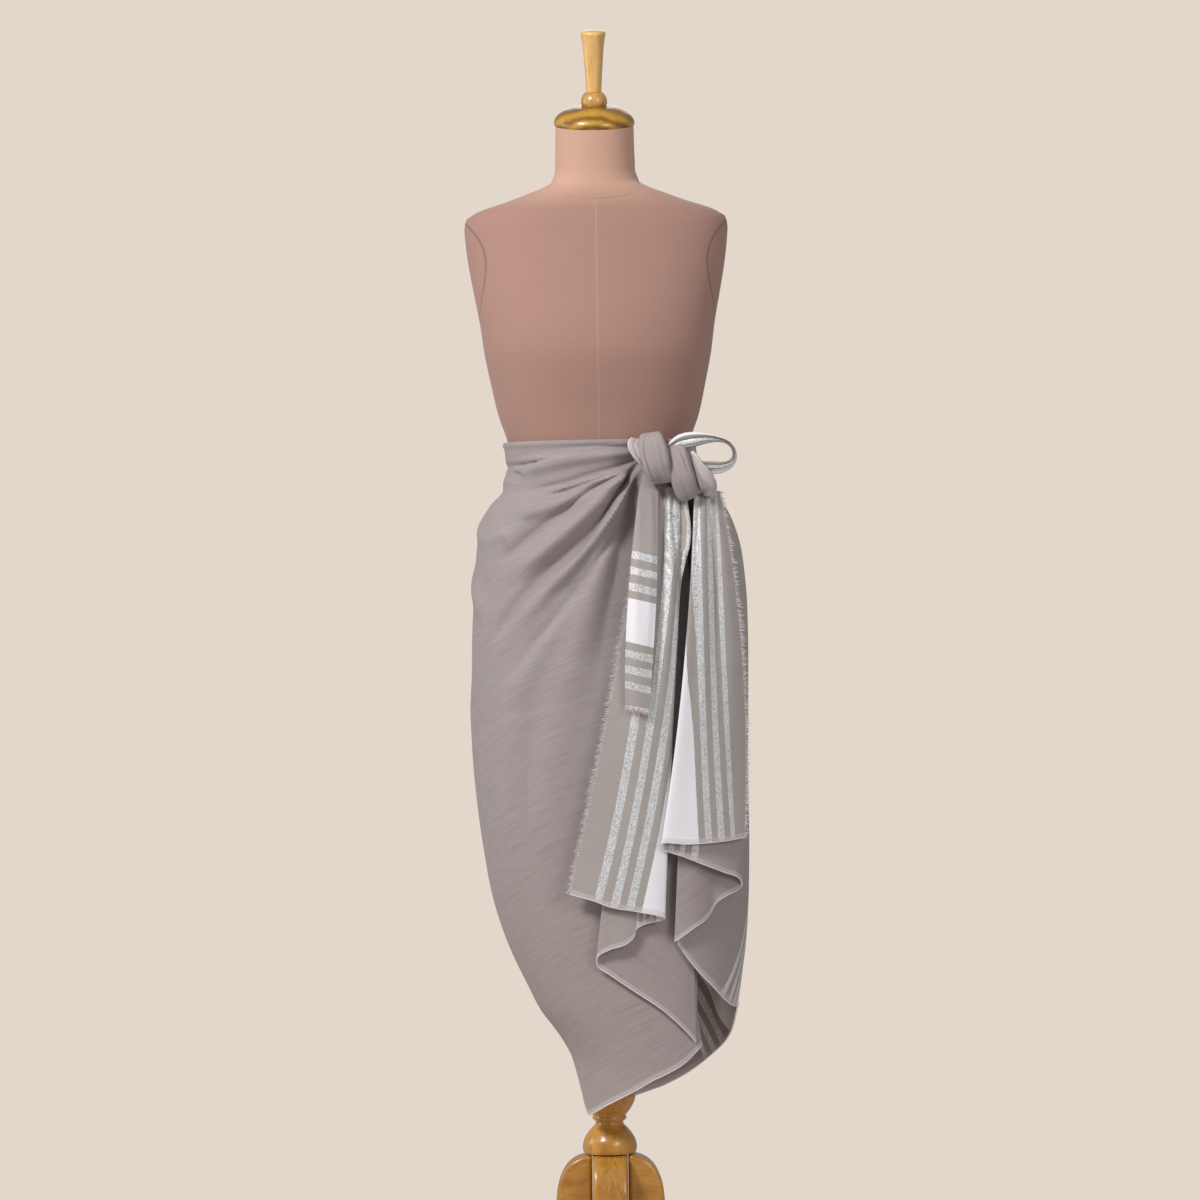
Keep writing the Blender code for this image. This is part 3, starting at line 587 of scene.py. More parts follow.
def shell(name, points, u, v, material, thickness=CLOTH, normals=None):
    """A thin closed wall of cloth on a grid of points in mm: rows run down, columns across."""
    down, across = points.shape[:2]
    if normals is None:
        normals = grid_normals(points)
    half = normals * np.broadcast_to(np.asarray(thickness, float), (down, across))[..., None] / 2
    count = down * across
    vertices = np.concatenate([(points + half).reshape(-1, 3), (points - half).reshape(-1, 3)])
    number = np.arange(count).reshape(down, across)
    a, b, c, d = number[:-1, :-1], number[1:, :-1], number[1:, 1:], number[:-1, 1:]
    tops = np.stack([a, b, c, d], axis=-1).reshape(-1, 4)
    unders = tops[:, ::-1] + count
    rim = np.concatenate([number[0, :], number[1:, -1], number[-1, -2::-1], number[-2:0:-1, 0]])
    there = np.roll(rim, -1)
    rims = np.stack([rim, there, there + count, rim + count], axis=-1)
    mesh = bpy.data.meshes.new(name)
    mesh.from_pydata((vertices * MM).tolist(), [], np.concatenate([tops, unders, rims]).tolist())
    coordinates = np.stack([u, v], axis=-1).reshape(-1, 2)
    set_cloth_coordinates(mesh, np.concatenate([coordinates, coordinates]))
    return add_object(name, mesh, material)


def tube_mesh(name, rings, u, v, material, smooth_angle=60):
    """A closed bundle through rings of points in mm, with cloth coordinates for each point."""
    count, sides = rings.shape[:2]
    number = np.arange(count * sides).reshape(count, sides)
    after = np.roll(number, -1, axis=1)
    sides_of = np.stack([number[:-1], after[:-1], after[1:], number[1:]], axis=-1).reshape(-1, 4)
    ends = [number[0, ::-1].tolist(), number[-1].tolist()]
    mesh = bpy.data.meshes.new(name)
    mesh.from_pydata((rings.reshape(-1, 3) * MM).tolist(), [], sides_of.tolist() + ends)
    work = bmesh.new()
    work.from_mesh(mesh)
    bmesh.ops.recalc_face_normals(work, faces=work.faces)
    mesh_of(work, name, mesh)
    set_cloth_coordinates(mesh, np.stack([u, v], axis=-1).reshape(-1, 2))
    return add_object(name, mesh, material, smooth_angle)


def arc_along(points, axis):
    """Distance along a grid's rows or columns, from their first point."""
    steps = np.linalg.norm(np.diff(points, axis=axis), axis=2)
    start = np.zeros_like(np.take(steps, [0], axis=axis))
    return np.concatenate([start, np.cumsum(steps, axis=axis)], axis=axis)


def hem_thickness(v):
    return CLOTH + (HEM_THICKNESS - CLOTH) * ease((HEM_BAND - v) / HEM_EASE)


# ---- materials -----------------------------------------------------------------------------
class Nodes:
    """A short way to write a material's nodes."""

    def __init__(self, name):
        self.material = bpy.data.materials.new(name)
        self.material.use_nodes = True
        self.tree = self.material.node_tree
        self.shader = self.tree.nodes["Principled BSDF"]

    def feed(self, node, inputs):
        """Links a node's inputs to sockets, or sets them to values."""
        for key, value in inputs.items():
            if isinstance(value, bpy.types.NodeSocket):
                self.tree.links.new(value, node.inputs[key])
            else:
                node.inputs[key].default_value = value
        return node

    def add(self, kind, inputs, **settings):
        node = self.tree.nodes.new(kind)
        for key, value in settings.items():
            setattr(node, key, value)
        return self.feed(node, inputs)

    def finish(self, **inputs):
        """Feeds the shader, whose inputs are named with underscores for spaces."""
        self.feed(self.shader, {key.replace("_", " "): value for key, value in inputs.items()})
        return self.material

    def math(self, operation, first, second=0.0, third=0.0):
        return self.add("ShaderNodeMath", {0: first, 1: second, 2: third}, operation=operation).outputs[0]

    def times(self, first, second):
        return self.math("MULTIPLY", first, second)

    def mix(self, factor, first, second):
        return self.add("ShaderNodeMix", {0: factor, 6: first, 7: second}, data_type="RGBA").outputs[2]

    def noise(self, vector, scale, detail=3.0, roughness=0.55, distortion=0.0):
        inputs = {"Vector": vector, "Scale": scale, "Detail": detail}
        inputs.update({"Roughness": roughness, "Distortion": distortion})
        return self.add("ShaderNodeTexNoise", inputs).outputs["Fac"]

    def place(self):
        return self.add("ShaderNodeTexCoord", {}).outputs["Object"]

    def stretched(self, vector, scale):
        return self.add("ShaderNodeMapping", {"Vector": vector, "Scale": scale}).outputs[0]

    def ramp(self, factor, stops, interpolation="LINEAR"):
        node = self.add("ShaderNodeValToRGB", {"Fac": factor})
        node.color_ramp.interpolation = interpolation
        elements = node.color_ramp.elements
        while len(elements) > 1:
            elements.remove(elements[-1])
        elements[0].position = stops[0][0]
        elements[0].color = stops[0][1]
        for place, colour in stops[1:]:
            elements.new(place).color = colour
        return node.outputs[0]

    def step(self, value, edge, softness):
        """1 below the edge and 0 above it."""
        span = {"From Min": edge - softness, "From Max": edge + softness, "To Min": 1.0, "To Max": 0.0}
        return self.add("ShaderNodeMapRange", {"Value": value, **span}).outputs[0]

    def bump(self, height, distance, strength=1.0, before=None):
        inputs = {"Height": height, "Distance": distance, "Strength": strength}
        if before is not None:
            inputs["Normal"] = before
        return self.add("ShaderNodeBump", inputs).outputs[0]


def rgb(red, green, blue):
    """A linear colour from display values of 0 to 255."""
    return (*(((c / 255 + 0.055) / 1.055) ** 2.4 if c > 10 else c / 3294.6 for c in (red, green, blue)), 1)


GREY_SHADE = rgb(145, 135, 134)
GREY_LIGHT = rgb(176, 164, 162)
GREY_GREEN = rgb(168, 163, 153)
GREY_MAUVE = rgb(155, 139, 145)
GREY_PALE = rgb(198, 186, 184)
GREY_DARK = rgb(118, 107, 106)
GREY_END_LIT = rgb(190, 185, 178)  # painted light: the hanging ends drawn paler and greener, near the short ends
# The silver stripes' tones hold painted glints and reflections, up to pure white.
SILVER_GLINT_TONES = (
    (0.34, rgb(172, 169, 168)),
    (0.56, rgb(216, 215, 216)),
    (0.74, rgb(246, 246, 248)),
    (0.9, rgb(255, 255, 255)),
)
WHITE_SHADE, WHITE_LIGHT = rgb(246, 243, 249), rgb(255, 254, 255)
# The white line along the hem's very edge is a painted highlight.
HEM_GREY, HEM_EDGE_HIGHLIGHT = rgb(214, 204, 205), rgb(238, 233, 231)
FRINGE_TONES = ((0.32, rgb(192, 184, 181)), (0.5, rgb(226, 220, 218)), (0.66, rgb(250, 247, 246)))
COVER_SHADE, COVER_LIGHT = rgb(162, 122, 108), rgb(175, 135, 121)
COVER_RIB, COVER_KNIT = rgb(138, 102, 90), rgb(212, 172, 154)
NECK_PALE = rgb(234, 190, 160)
SEAM_PALE, RING_DARK = rgb(226, 198, 184), rgb(112, 82, 74)
WEFT_PITCH, WARP_PITCH = 0.0009, 0.0008  # of the woven bump, in metres


def cotton_material():
    """Handwoven grey cotton with its border of silver stripes and white band, and its hem."""
    n = Nodes("grey_cotton")
    place = n.add("ShaderNodeUVMap", {}, uv_map="cloth").outputs[0]
    apart = n.add("ShaderNodeSeparateXYZ", {0: place})
    u, v = apart.outputs[0], apart.outputs[1]

    slubs = n.noise(n.stretched(place, (16, 520, 1)), 1.0, 4.0, 0.66)
    streaks = n.noise(n.stretched(place, (5, 170, 1)), 1.0, 3.0, 0.6)
    fine = n.noise(n.stretched(place, (160, 2600, 1)), 1.0, 2.0, 0.6)
    warp = n.noise(n.stretched(place, (1500, 30, 1)), 1.0, 3.0, 0.6)
    cloud = n.noise(place, 9.0, 3.0)

    wobble = n.math("MULTIPLY_ADD", n.noise(n.stretched(place, (300, 60, 1)), 1.0, 2.0), 0.0016, -0.0008)
    drawn = n.math("ADD", u, wobble)
    second = n.math("GREATER_THAN", drawn, SECOND_FROM * MM)
    start = n.math("MULTIPLY_ADD", second, (SECOND_BORDER - MARGIN) * MM, MARGIN * MM)
    across = n.math("DIVIDE", n.math("SUBTRACT", drawn, start), BORDER * MM)
    silver, white, plain = (1, 0, 0, 1), (0, 1, 0, 1), (0, 0, 0, 1)
    stops, at = [(0.0, plain)], 0.0005
    for width, kind in (*((STRIPE, silver), (STRIPE, plain)) * 3, (WHITE_BAND, white)):
        stops.append((at, kind))
        at += width / BORDER
    for width, kind in ((STRIPE, plain), (STRIPE, silver)) * 3:
        stops.append((at, kind))
        at += width / BORDER
    stops.append((at - 0.001, plain))
    bands = n.add("ShaderNodeSeparateColor", {0: n.ramp(across, stops, "CONSTANT")})
    is_silver, is_white = bands.outputs[0], bands.outputs[1]

    lit = (1, 1, 1, 1)
    grey = n.mix(n.ramp(slubs, ((0.34, plain), (0.66, lit))), GREY_SHADE, GREY_LIGHT)
    grey = n.mix(n.ramp(streaks, ((0.38, plain), (0.68, (0.7, 0.7, 0.7, 1)))), grey, GREY_GREEN)
    grey = n.mix(n.times(cloud, 0.35), grey, GREY_MAUVE)
    grey = n.mix(n.times(fine, 0.35), grey, GREY_PALE)
    grey = n.mix(n.times(warp, 0.22), grey, GREY_DARK)
    # Painted light: near the short ends the hanging layer, which hangs in the light, is drawn paler and
    # greener.
    grey = n.mix(n.times(n.step(u, END_LIT_TO * MM, END_LIT_BLEND * MM), 0.4), grey, GREY_END_LIT)

    # Painted glints on the silver threads: small cells and patches of the stripes drawn brighter, up to
    # white.
    cells = n.add("ShaderNodeTexVoronoi", {"Vector": n.stretched(place, (1250, 1500, 1)), "Scale": 1.0})
    painted_glint = n.add("ShaderNodeSeparateColor", {0: cells.outputs["Color"]}).outputs[0]
    crushed = n.noise(n.stretched(place, (420, 260, 1)), 1.0, 3.0, 0.6)
    bright = n.math("MULTIPLY_ADD", crushed, 0.7, n.times(painted_glint, 0.62))
    colour = n.mix(is_silver, grey, n.ramp(bright, SILVER_GLINT_TONES))
    colour = n.mix(is_white, colour, n.mix(n.times(fine, 0.6), WHITE_SHADE, WHITE_LIGHT))
    hem = n.step(v, HEM_BAND * MM, 0.0003)
    # Painted highlight: a thin white line along the hem's outer edge.
    edge = n.step(v, 1.3 * MM, 0.0004)
    colour = n.mix(n.times(hem, 0.42), colour, HEM_GREY)
    colour = n.mix(n.times(edge, 0.8), colour, HEM_EDGE_HIGHLIGHT)
    rough = n.math("MULTIPLY_ADD", is_silver, -0.42, 0.82)
    rough = n.math("MULTIPLY_ADD", is_white, -0.12, rough)

    weft = n.math("SINE", n.times(v, math.tau / WEFT_PITCH))
    ends = n.math("SINE", n.times(u, math.tau / WARP_PITCH))
    threads = n.bump(n.times(weft, ends), 0.00006, 0.35)
    uneven = n.bump(n.math("ADD", slubs, fine), 0.0008, 0.5, threads)
    foil = n.bump(n.times(is_silver, bright), 0.0009, 0.8, uneven)
    groove = n.math("ABSOLUTE", n.math("SUBTRACT", v, HEM_BAND * MM))
    stitched = n.bump(n.step(groove, 0.0006, 0.0006), 0.0006, -0.8, foil)
    metal = n.times(is_silver, 0.35)
    looks = {"Metallic": metal, "Roughness": rough, "Sheen_Weight": 0.1, "Sheen_Roughness": 0.5}
    return n.finish(Base_Color=colour, Normal=stitched, **looks)


def thread_material():
    """Cut warp ends: pale grey and near-white, each thread a little different."""
    n = Nodes("fringe_threads")
    place = n.place()
    tone = n.noise(place, 900.0, 2.0)
    colour = n.ramp(tone, FRINGE_TONES)
    return n.finish(Base_Color=colour, Roughness=0.8, Normal=n.bump(tone, 0.0003, 0.4))


def cover_material():
    """The form's cover: fine mauve-brown jersey with its sewn seams, paler over the neck."""
    n = Nodes("jersey_cover")
    place = n.place()
    apart = n.add("ShaderNodeSeparateXYZ", {0: place})
    x, y, height = apart.outputs
    cloud = n.noise(place, 7.0, 4.0)
    ribs = n.noise(n.stretched(place, (1300, 1300, 260)), 1.0, 2.0, 0.6)
    knit = n.noise(place, 900.0, 2.0, 0.7)
    colour = n.mix(cloud, COVER_SHADE, COVER_LIGHT)
    colour = n.mix(n.times(ribs, 0.35), colour, COVER_RIB)
    colour = n.mix(n.times(knit, 0.3), colour, COVER_KNIT)
    neck = n.add("ShaderNodeMapRange", {"Value": height, "From Min": 1.425, "From Max": 1.46}).outputs[0]
    colour = n.mix(n.times(neck, 0.5), colour, NECK_PALE)

    # The seam down the front and the back, and the one round each plate over an arm's stump.
    middle = n.step(n.math("ABSOLUTE", x), 0.0006, 0.0005)
    middle = n.times(middle, n.step(height, NECK_SEAM_FRONT * MM, 0.001))
    along = n.math("DIVIDE", n.math("SUBTRACT", y, PLATE_Y * MM), PLATE_HALF_DEPTH * MM)
    up = n.math("DIVIDE", n.math("SUBTRACT", height, PLATE_Z * MM), PLATE_HALF_HEIGHT * MM)
    reach = n.math("SQRT", n.math("ADD", n.times(along, along), n.times(up, up)))
    off = n.math("ABSOLUTE", n.math("SUBTRACT", reach, 1.0))
    side = n.math("GREATER_THAN", n.math("ABSOLUTE", x), 0.12)
    ring = n.times(n.step(off, 0.02, 0.014), side)
    colour = n.mix(n.times(middle, 0.22), colour, SEAM_PALE)
    colour = n.mix(n.times(ring, 0.6), colour, RING_DARK)
    knitted = n.bump(n.math("ADD", ribs, knit), 0.0007, 0.45)
    seams = n.bump(n.math("ADD", middle, ring), 0.0012, -0.9, knitted)
    return n.finish(Base_Color=colour, Roughness=0.86, Normal=seams, Sheen_Weight=0.15, Sheen_Roughness=0.5)


WOODS = (
    # name, darkest and lightest colour, scale of the grain, and the rings of a turned face
    ("cap_wood", rgb(128, 82, 16), rgb(206, 158, 52), (26, 90, 26), ((0.03, 0.0, 0.05), (0, 0.5, 0), 26.0)),
    ("ball_wood", rgb(166, 112, 42), rgb(224, 178, 96), (60, 60, 18)),
    ("grip_wood", rgb(214, 156, 78), rgb(255, 210, 134), (90, 90, 14)),
    ("post_wood", rgb(146, 90, 24), rgb(222, 164, 70), (70, 70, 12)),
    ("leg_wood", rgb(142, 88, 24), rgb(214, 156, 66), (10, 80, 40)),
)


def wood_material(name, dark, light, stretch, rings=None):
    """Waxed wood: long grain with pores and, on a turned face, the arcs of its rings.

    The rings are given as their centre, their tilt and their scale.
    """
    n = Nodes(name)
    place = n.place()
    long_grain = n.noise(n.stretched(place, stretch), 1.0, 6.0, 0.62, 0.6)
    pores = n.noise(n.stretched(place, tuple(7 * s for s in stretch)), 1.0, 3.0, 0.7)
    patches = n.noise(place, 38.0, 3.0)
    tone = n.math("MULTIPLY_ADD", pores, 0.4, n.times(long_grain, 0.8))
    if rings:
        centre, tilt, scale = rings
        turned = {"Vector": place, "Location": centre, "Rotation": tilt}
        moved = n.add("ShaderNodeMapping", turned).outputs[0]
        wave = n.add(
            "ShaderNodeTexWave",
            {"Vector": moved, "Scale": scale, "Distortion": 1.6, "Detail": 2.0, "Detail Scale": 1.2},
            wave_type="RINGS",
            rings_direction="Y",
        )
        tone = n.math("MULTIPLY_ADD", wave.outputs["Fac"], 0.42, n.times(tone, 0.62))
    middle = tuple((a + b) / 2 for a, b in zip(dark, light))
    colour = n.ramp(tone, ((0.36, dark), (0.56, middle), (0.78, light)))
    colour = n.mix(n.times(patches, 0.35), colour, tuple(0.72 * c for c in middle[:3]) + (1,))
    rough = n.add("ShaderNodeMapRange", {"Value": tone, "To Min": 0.24, "To Max": 0.4}).outputs[0]
    grained = n.bump(n.math("ADD", pores, long_grain), 0.0004, 0.25)
    return n.finish(Base_Color=colour, Roughness=rough, Normal=grained, Coat_Weight=0.5, Coat_Roughness=0.14)


def plain_material(name, colour, roughness):
    n = Nodes(name)
    place = n.place()
    shade = n.mix(n.noise(place, 3.0, 3.0), colour, tuple(0.97 * c for c in colour[:3]) + (1,))
    return n.finish(Base_Color=shade, Roughness=roughness)


# ---- telling the frame ---------------------------------------------------------------------
def place_piece(piece, nodes):
    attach(piece, "root")
    if nodes:
        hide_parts(*nodes)
    return piece


# ---- the wrap ------------------------------------------------------------------------------
def wrap_offset(angle, height, x):
    """How far the creases move the wrap out from its tube."""
    round_the_tube = angle * MM_PER_DEGREE
    ridges, troughs = (
        [(tuple((a * MM_PER_DEGREE, z) for a, z in points), *rest) for points, *rest in rows]
        for rows in (SIDE_RIDGES, SIDE_TROUGHS)
    )
    side = creases(round_the_tube, height, ridges) - creases(round_the_tube, height, troughs, sharpness=1.6)
    front = creases(x, height, FRONT_RIDGES) - creases(x, height, FRONT_TROUGHS, 0.1, 0.4, PRESSED)
    total = side + front * ease((angle - FRONT_FROM) / FRONT_BLEND)
    below_top = WAIST_TOP - height
    top_roll = WAIST_ROLL * np.exp(-(((below_top - WAIST_ROLL_HALF) / WAIST_ROLL_HALF) ** 2))
    total = total * ease(below_top / WAIST_FADE) + top_roll
    over_form = height > FORM_BOTTOM - FREE_BELOW
    return np.where(over_form, soft_floor(total, -CLEARANCE), total)


def build_wrap(cotton):
    """The stretch that goes round the form: front, back and the right side that laps the front."""
    stops = (RIGHT_TURN, 0.0, 180.0, FRONT_END)
    angles = np.concatenate(
        [np.linspace(a, b, count, endpoint=False) for a, b, count in zip(stops, stops[1:], WRAP_COLUMNS)]
        + [np.array([FRONT_END])]
    )
    down = np.concatenate(
        [np.linspace(0, CREASED, CREASED_ROWS, endpoint=False), np.linspace(CREASED, 1, PLAIN_ROWS)]
    )[:, None]
    hem = through(HEM, angles)[None, :]
    height = WAIST_TOP + down * (hem - WAIST_TOP)
    turned = np.broadcast_to(angles, height.shape)
    right = through(RIGHT_END, height) / RIGHT_TURN
    angle = np.where(turned < 0, turned * right, turned)
    lift = through(RIGHT_LIFT, height) * ease((LIFT_START - angle) / LIFT_RUN) * (turned < 0)
    base = tube_point(angle, height, lift)
    out = wrap_offset(angle, height, base[..., 0])
    points = tube_point(angle, height, lift + out)

    # The hem is the cut's long edge: v runs square to it, and u along it. Up the form the threads
    # rise towards the knot, and near the knot the gathered cloth stays short of the first border.
    above = height - hem
    lean = through(LEAN, turned)
    slope = np.sqrt(1 + lean**2)
    u = SECOND_BORDER + through(BORDER_PLACES, turned) - lean / slope * above
    u = soft_floor(u, PLAIN_FROM, PLAIN_SOFTNESS)
    level = ease((above - THREADS_FROM) / THREADS_BLEND)
    less = RISE_LESS * ease((height - RISE_LESS_FROM) / RISE_LESS_BLEND)
    rise = through(WEFT_RISE, turned) * (1 - less)
    v = above / slope * (1 - level) + (height - rise - HEM[-1][1] + THREADS_START) * level
    normals = grid_normals(points)
    thickness = hem_thickness(above / slope)
    edges = np.cumsum([0, *WRAP_COLUMNS])
    made = []
    for k, name in enumerate(("wrap_right", "wrap_back", "wrap_front")):
        part = np.s_[:, edges[k] : edges[k + 1] + 1]
        piece = shell(
            name + "_cloth", points[part], u[part], v[part], cotton, thickness[part], normals[part]
        )
        made.append(place_piece(piece, [name]))
    return made


# ---- the hanging ends ----------------------------------------------------------------------
def rib_curves(ribs, spacing):
    """Smooth columns between ribs: each column's stations, and the column of each rib."""
    stations = np.array([rib[1:] for rib in ribs], float)
    reach = stations.reshape(len(ribs), 3, -1)[..., :3]
    steps = np.linalg.norm(np.diff(reach, axis=0), axis=2)
    length = steps[:, 1:].mean(axis=1)
    places = np.concatenate([[0], np.cumsum(length)])
    at, of_rib = [], [0]
    for start, step in zip(places, length):
        count = max(4, int(round(step / spacing)))
        at.extend(start + step * np.arange(count) / count)
        of_rib.append(of_rib[-1] + count)
    columns = smooth_columns(places, stations, np.array([*at, places[-1]]))
    return columns, dict(zip((rib[0] for rib in ribs), of_rib))


def hang(columns, rows, ripple, sway=None):
    """Points of a hanging end, and its u: each column is bent smoothly from the knot to the hem."""
    t = np.linspace(0, 1, rows)[:, None]
    weights = ((1 - t) * (1 - 2 * t), 4 * t * (1 - t), t * (2 * t - 1))
    each = columns.shape[1] // 3
    x, z, out, *marks = (
        sum(w * columns[None, :, i + each * k] for k, w in enumerate(weights)) for i in range(each)
    )
    if sway is not None:
        x = x + sway(x, z)
    return front_point(x, z, out + ripple(x, z, t)), marks[0] if marks else None


def cut_apart(points, u, v, rib, stretches, cotton):
    """One piece for each stretch of a hanging end, between two of its ribs."""
    normals = grid_normals(points)
    thickness = hem_thickness(v)
    made = []
    for node, first, last in stretches:
        part = np.s_[:, rib[first] : rib[last] + 1]
        piece = shell(node + "_cloth", points[part], u[part], v[part], cotton, thickness[part], normals[part])
        made.append(place_piece(piece, [node]))
    return made


def build_left_end(cotton):
    columns, rib = rib_curves(LEFT_RIBS, RIB_SPACING)

    def sway(x, z):
        """The gathers under the knot swing over the gap beside the right-hand end."""
        return SWAY * np.exp(-(((z - SWAY_HEIGHT) / SWAY_HALF) ** 2)) * ease((x - SWAY_X) / SWAY_BLEND)

    def ripple(x, z, t):
        folds = creases(x, z, LEFT_FOLDS) - creases(x, z, LEFT_PRESSED, 0.1, 0.3, PRESSED)
        soft = 1.0 * np.sin(x / 15 + z / 160) * ease((0.9 - t) / 0.4)
        crinkle = CRINKLE * np.sin(z / 4.1 + 0.4 * x + 2 * np.sin(z / 17)) * ease((z - CRINKLE_ABOVE) / 60)
        crinkle = crinkle * np.exp(-(((x - CRINKLE_X) / CRINKLE_HALF) ** 2))
        return folds + soft + crinkle

    points, u = hang(columns, LEFT_ROWS, ripple, sway)
    v = arc_along(points[::-1], 0)[::-1]
    stretches = (
        ("panel_left", "fringe_edge", "right_fold_out"),
        ("pleat_left_outer", "right_fold_out", "left_fold_out"),
        ("pleat_left_inner", "left_fold_out", "turn_under"),
    )
    return cut_apart(points, u, v, rib, stretches, cotton), points


def build_right_end(cotton):
    columns, rib = rib_curves(RIGHT_RIBS, RIB_SPACING)

    def ripple(x, z, t):
        folds = creases(x, z, RIGHT_FOLDS) - creases(x, z, RIGHT_PRESSED, 0.1, 0.4, PRESSED)
        return folds + 0.6 * np.sin(x / 13 - z / 140) * ease((0.92 - t) / 0.4)

    points, u = hang(columns, RIGHT_ROWS, ripple)
    v = arc_along(points[::-1], 0)[::-1]
    stretches = (
        ("pleat_right_inner", "left_turn_out", "right_fold_in"),
        ("pleat_right_outer", "right_fold_in", "shelf_fold_out"),
        ("panel_right", "shelf_fold_out", "fringe_edge"),
    )
    return cut_apart(points, u, v, rib, stretches, cotton), points


def build_tail(cotton):
    """The corner of the cloth that hangs in front of the knot, folded double."""
    columns, _ = rib_curves(TAIL_RIBS, TAIL_SPACING)
    points, _ = hang(columns, TAIL_ROWS, lambda x, z, t: creases(x, z, TAIL_FOLDS))
    x, z = points[..., 0], points[..., 2]
    u = z - z[-1, 0] + TAIL_LEAN * (x - x[:, :1]) + TAIL_END
    v = TAIL_V + x
    piece = shell("tail_band_cloth", points, u, v, cotton, TAIL_CLOTH)
    return place_piece(piece, ["tail_band"]), points


# ---- fringes -------------------------------------------------------------------------------
def threads(node, edge, away, material, reach, spacing, droop):
    """Cut ends along an edge, each a thin tapered thread with its own lean and length."""
    places = lengths_along(edge)
    at = np.arange(0.4, places[-1], spacing)
    at = at + random.uniform(-0.45, 0.45, len(at)) * spacing
    roots = np.stack([np.interp(at, places, edge[:, k]) for k in range(3)], axis=1)
    leave = np.stack([np.interp(at, places, away[:, k]) for k in range(3)], axis=1)
    count = len(at)
    leave = leave + random.normal(0, 0.28, (count, 3)) * (1.0, 0.8, 1.0)
    leave /= np.linalg.norm(leave, axis=1, keepdims=True)
    length = reach * random.uniform(*THREAD_LENGTHS, count)
    fall = np.array((0.0, 0.0, -1.0)) * droop
    sideways = random.normal(0, 0.16, (count, 3))
    first = np.cross(leave, (0.31, 0.9, 0.3))
    first /= np.linalg.norm(first, axis=1, keepdims=True)
    second = np.cross(leave, first)
    corners = math.tau * np.arange(THREAD_SIDES) / THREAD_SIDES
    vertices = []
    for where, r in zip(THREAD_STATIONS, THREAD_RADII):
        centre = roots + length[:, None] * (leave * where + (fall + sideways) * max(where, 0) ** 2)
        vertices += [centre + r * (math.cos(turn) * first + math.sin(turn) * second) for turn in corners]
    vertices = np.stack(vertices, axis=1)
    number = np.arange(len(THREAD_STATIONS) * THREAD_SIDES).reshape(-1, THREAD_SIDES)
    after = np.roll(number, -1, axis=1)
    quads = np.stack([number[:-1], after[:-1], after[1:], number[1:]], axis=-1).reshape(-1, 4)
    bases = np.arange(count)[:, None, None] * number.size
    faces = (quads[None] + bases).reshape(-1, 4).tolist()
    for end in (number[:1, ::-1], number[-1:]):
        faces += (end[None] + bases).reshape(-1, THREAD_SIDES).tolist()
    name = node + "_threads"
    mesh = bpy.data.meshes.new(name)
    mesh.from_pydata((vertices.reshape(-1, 3) * MM).tolist(), [], faces)
    return place_piece(add_object(name, mesh, material), [node])


def build_fringes(left, right, tail, material):
    def beside(points, column, inner):
        away = points[:, column] - points[:, inner]
        return points[:, column], away / np.linalg.norm(away, axis=1, keepdims=True)

    on_left = threads("fringe_left", *beside(left, 0, 3), material, **END_FRINGE)
    on_right = threads("fringe_right", *beside(right, -1, -4), material, **END_FRINGE)
    below = np.broadcast_to((0.0, 0.0, -1.0), tail[-1].shape)
    on_tail = threads("fringe_tail", tail[-1], below, material, **TAIL_FRINGE)
    return on_left, on_right, on_tail


# ---- the knot ------------------------------------------------------------------------------
def bundle(name, stations, material, grooves, hem=None, level=False, marks=None):
    """A folded bundle of cloth along a path, with creases, laps and a hem drawn along it.

    Turns are degrees round the path: of one that runs down, 0 is the side at -X and 90 the front.
    A level bundle keeps its width along Y, as a ribbon does that is bent in the front view, and
    its u runs across its face, so its stripes follow the path.
    """
    rows = smooth_line(stations, BUNDLE_ROWS)
    centre, width, deep = rows[:, :3], rows[:, 3:4], rows[:, 4:5]
    forward = np.gradient(centre, axis=0)
    forward /= np.linalg.norm(forward, axis=1, keepdims=True)
    front = np.broadcast_to((0.0, -1.0, 0.0), forward.shape)
    across = front if level else np.cross(forward, front)
    thick = np.cross(forward, front) if level else front
    across, thick = (axis / np.linalg.norm(axis, axis=1, keepdims=True) for axis in (across, thick))
    turn = np.linspace(0, 360, BUNDLE_SIDES, endpoint=False)[None, :]
    share = np.linspace(0, 1, BUNDLE_ROWS)[:, None]
    mm_per_degree = math.pi / 360 * (width + deep)

    def from_line(turns):
        """Signed distance in mm from a line of turns along the bundle."""
        bend = smooth_through(np.array((0.0, 0.5, 1.0)), np.array(turns, float), share)
        return ((turn - bend + 180) % 360 - 180) * mm_per_degree

    rise = 0.25 * np.sin(np.radians(3 * turn) + 5 * share) + 0.2 * np.sin(np.radians(7 * turn) - 4 * share)
    for *line, depth, half_width, lap, fade_from, fade_to in grooves:
        distance = from_line(line)
        started = ease((share - fade_from) / GROOVE_FADE + 0.5)
        shown = started * ease((fade_to - share) / GROOVE_FADE + 0.5)
        rise = rise - shown * depth * np.exp(-np.abs(distance / half_width) ** PRESSED)
        rise = rise + shown * lap * np.exp(-np.maximum(distance, 0) / LAP_RUN) * (distance > 0)
    swell = 1 + rise / np.maximum((width + deep) / 2, LEAST_HALF)
    x = power(np.cos(np.radians(turn)), 2 / BUNDLE_FULLNESS) * swell
    y = power(np.sin(np.radians(turn)), 2 / BUNDLE_FULLNESS) * swell
    rings = (
        centre[:, None] + across[:, None] * (width * x)[..., None] + thick[:, None] * (deep * y)[..., None]
    )
    along_path = arc_along(rings, 0)
    if level:
        u = marks[0] + (marks[1] - marks[0]) * (0.5 + 0.5 * np.sin(np.radians(turn))) + 0 * share
        v = KNOT_V + along_path
    else:
        u = KNOT_U + along_path
        v = KNOT_V + width * np.cos(np.radians(turn))
    if hem is not None:
        v = np.minimum(v, np.abs(from_line(hem)) * HEM_NARROWED)
    return tube_mesh(name, rings, u, v, material)


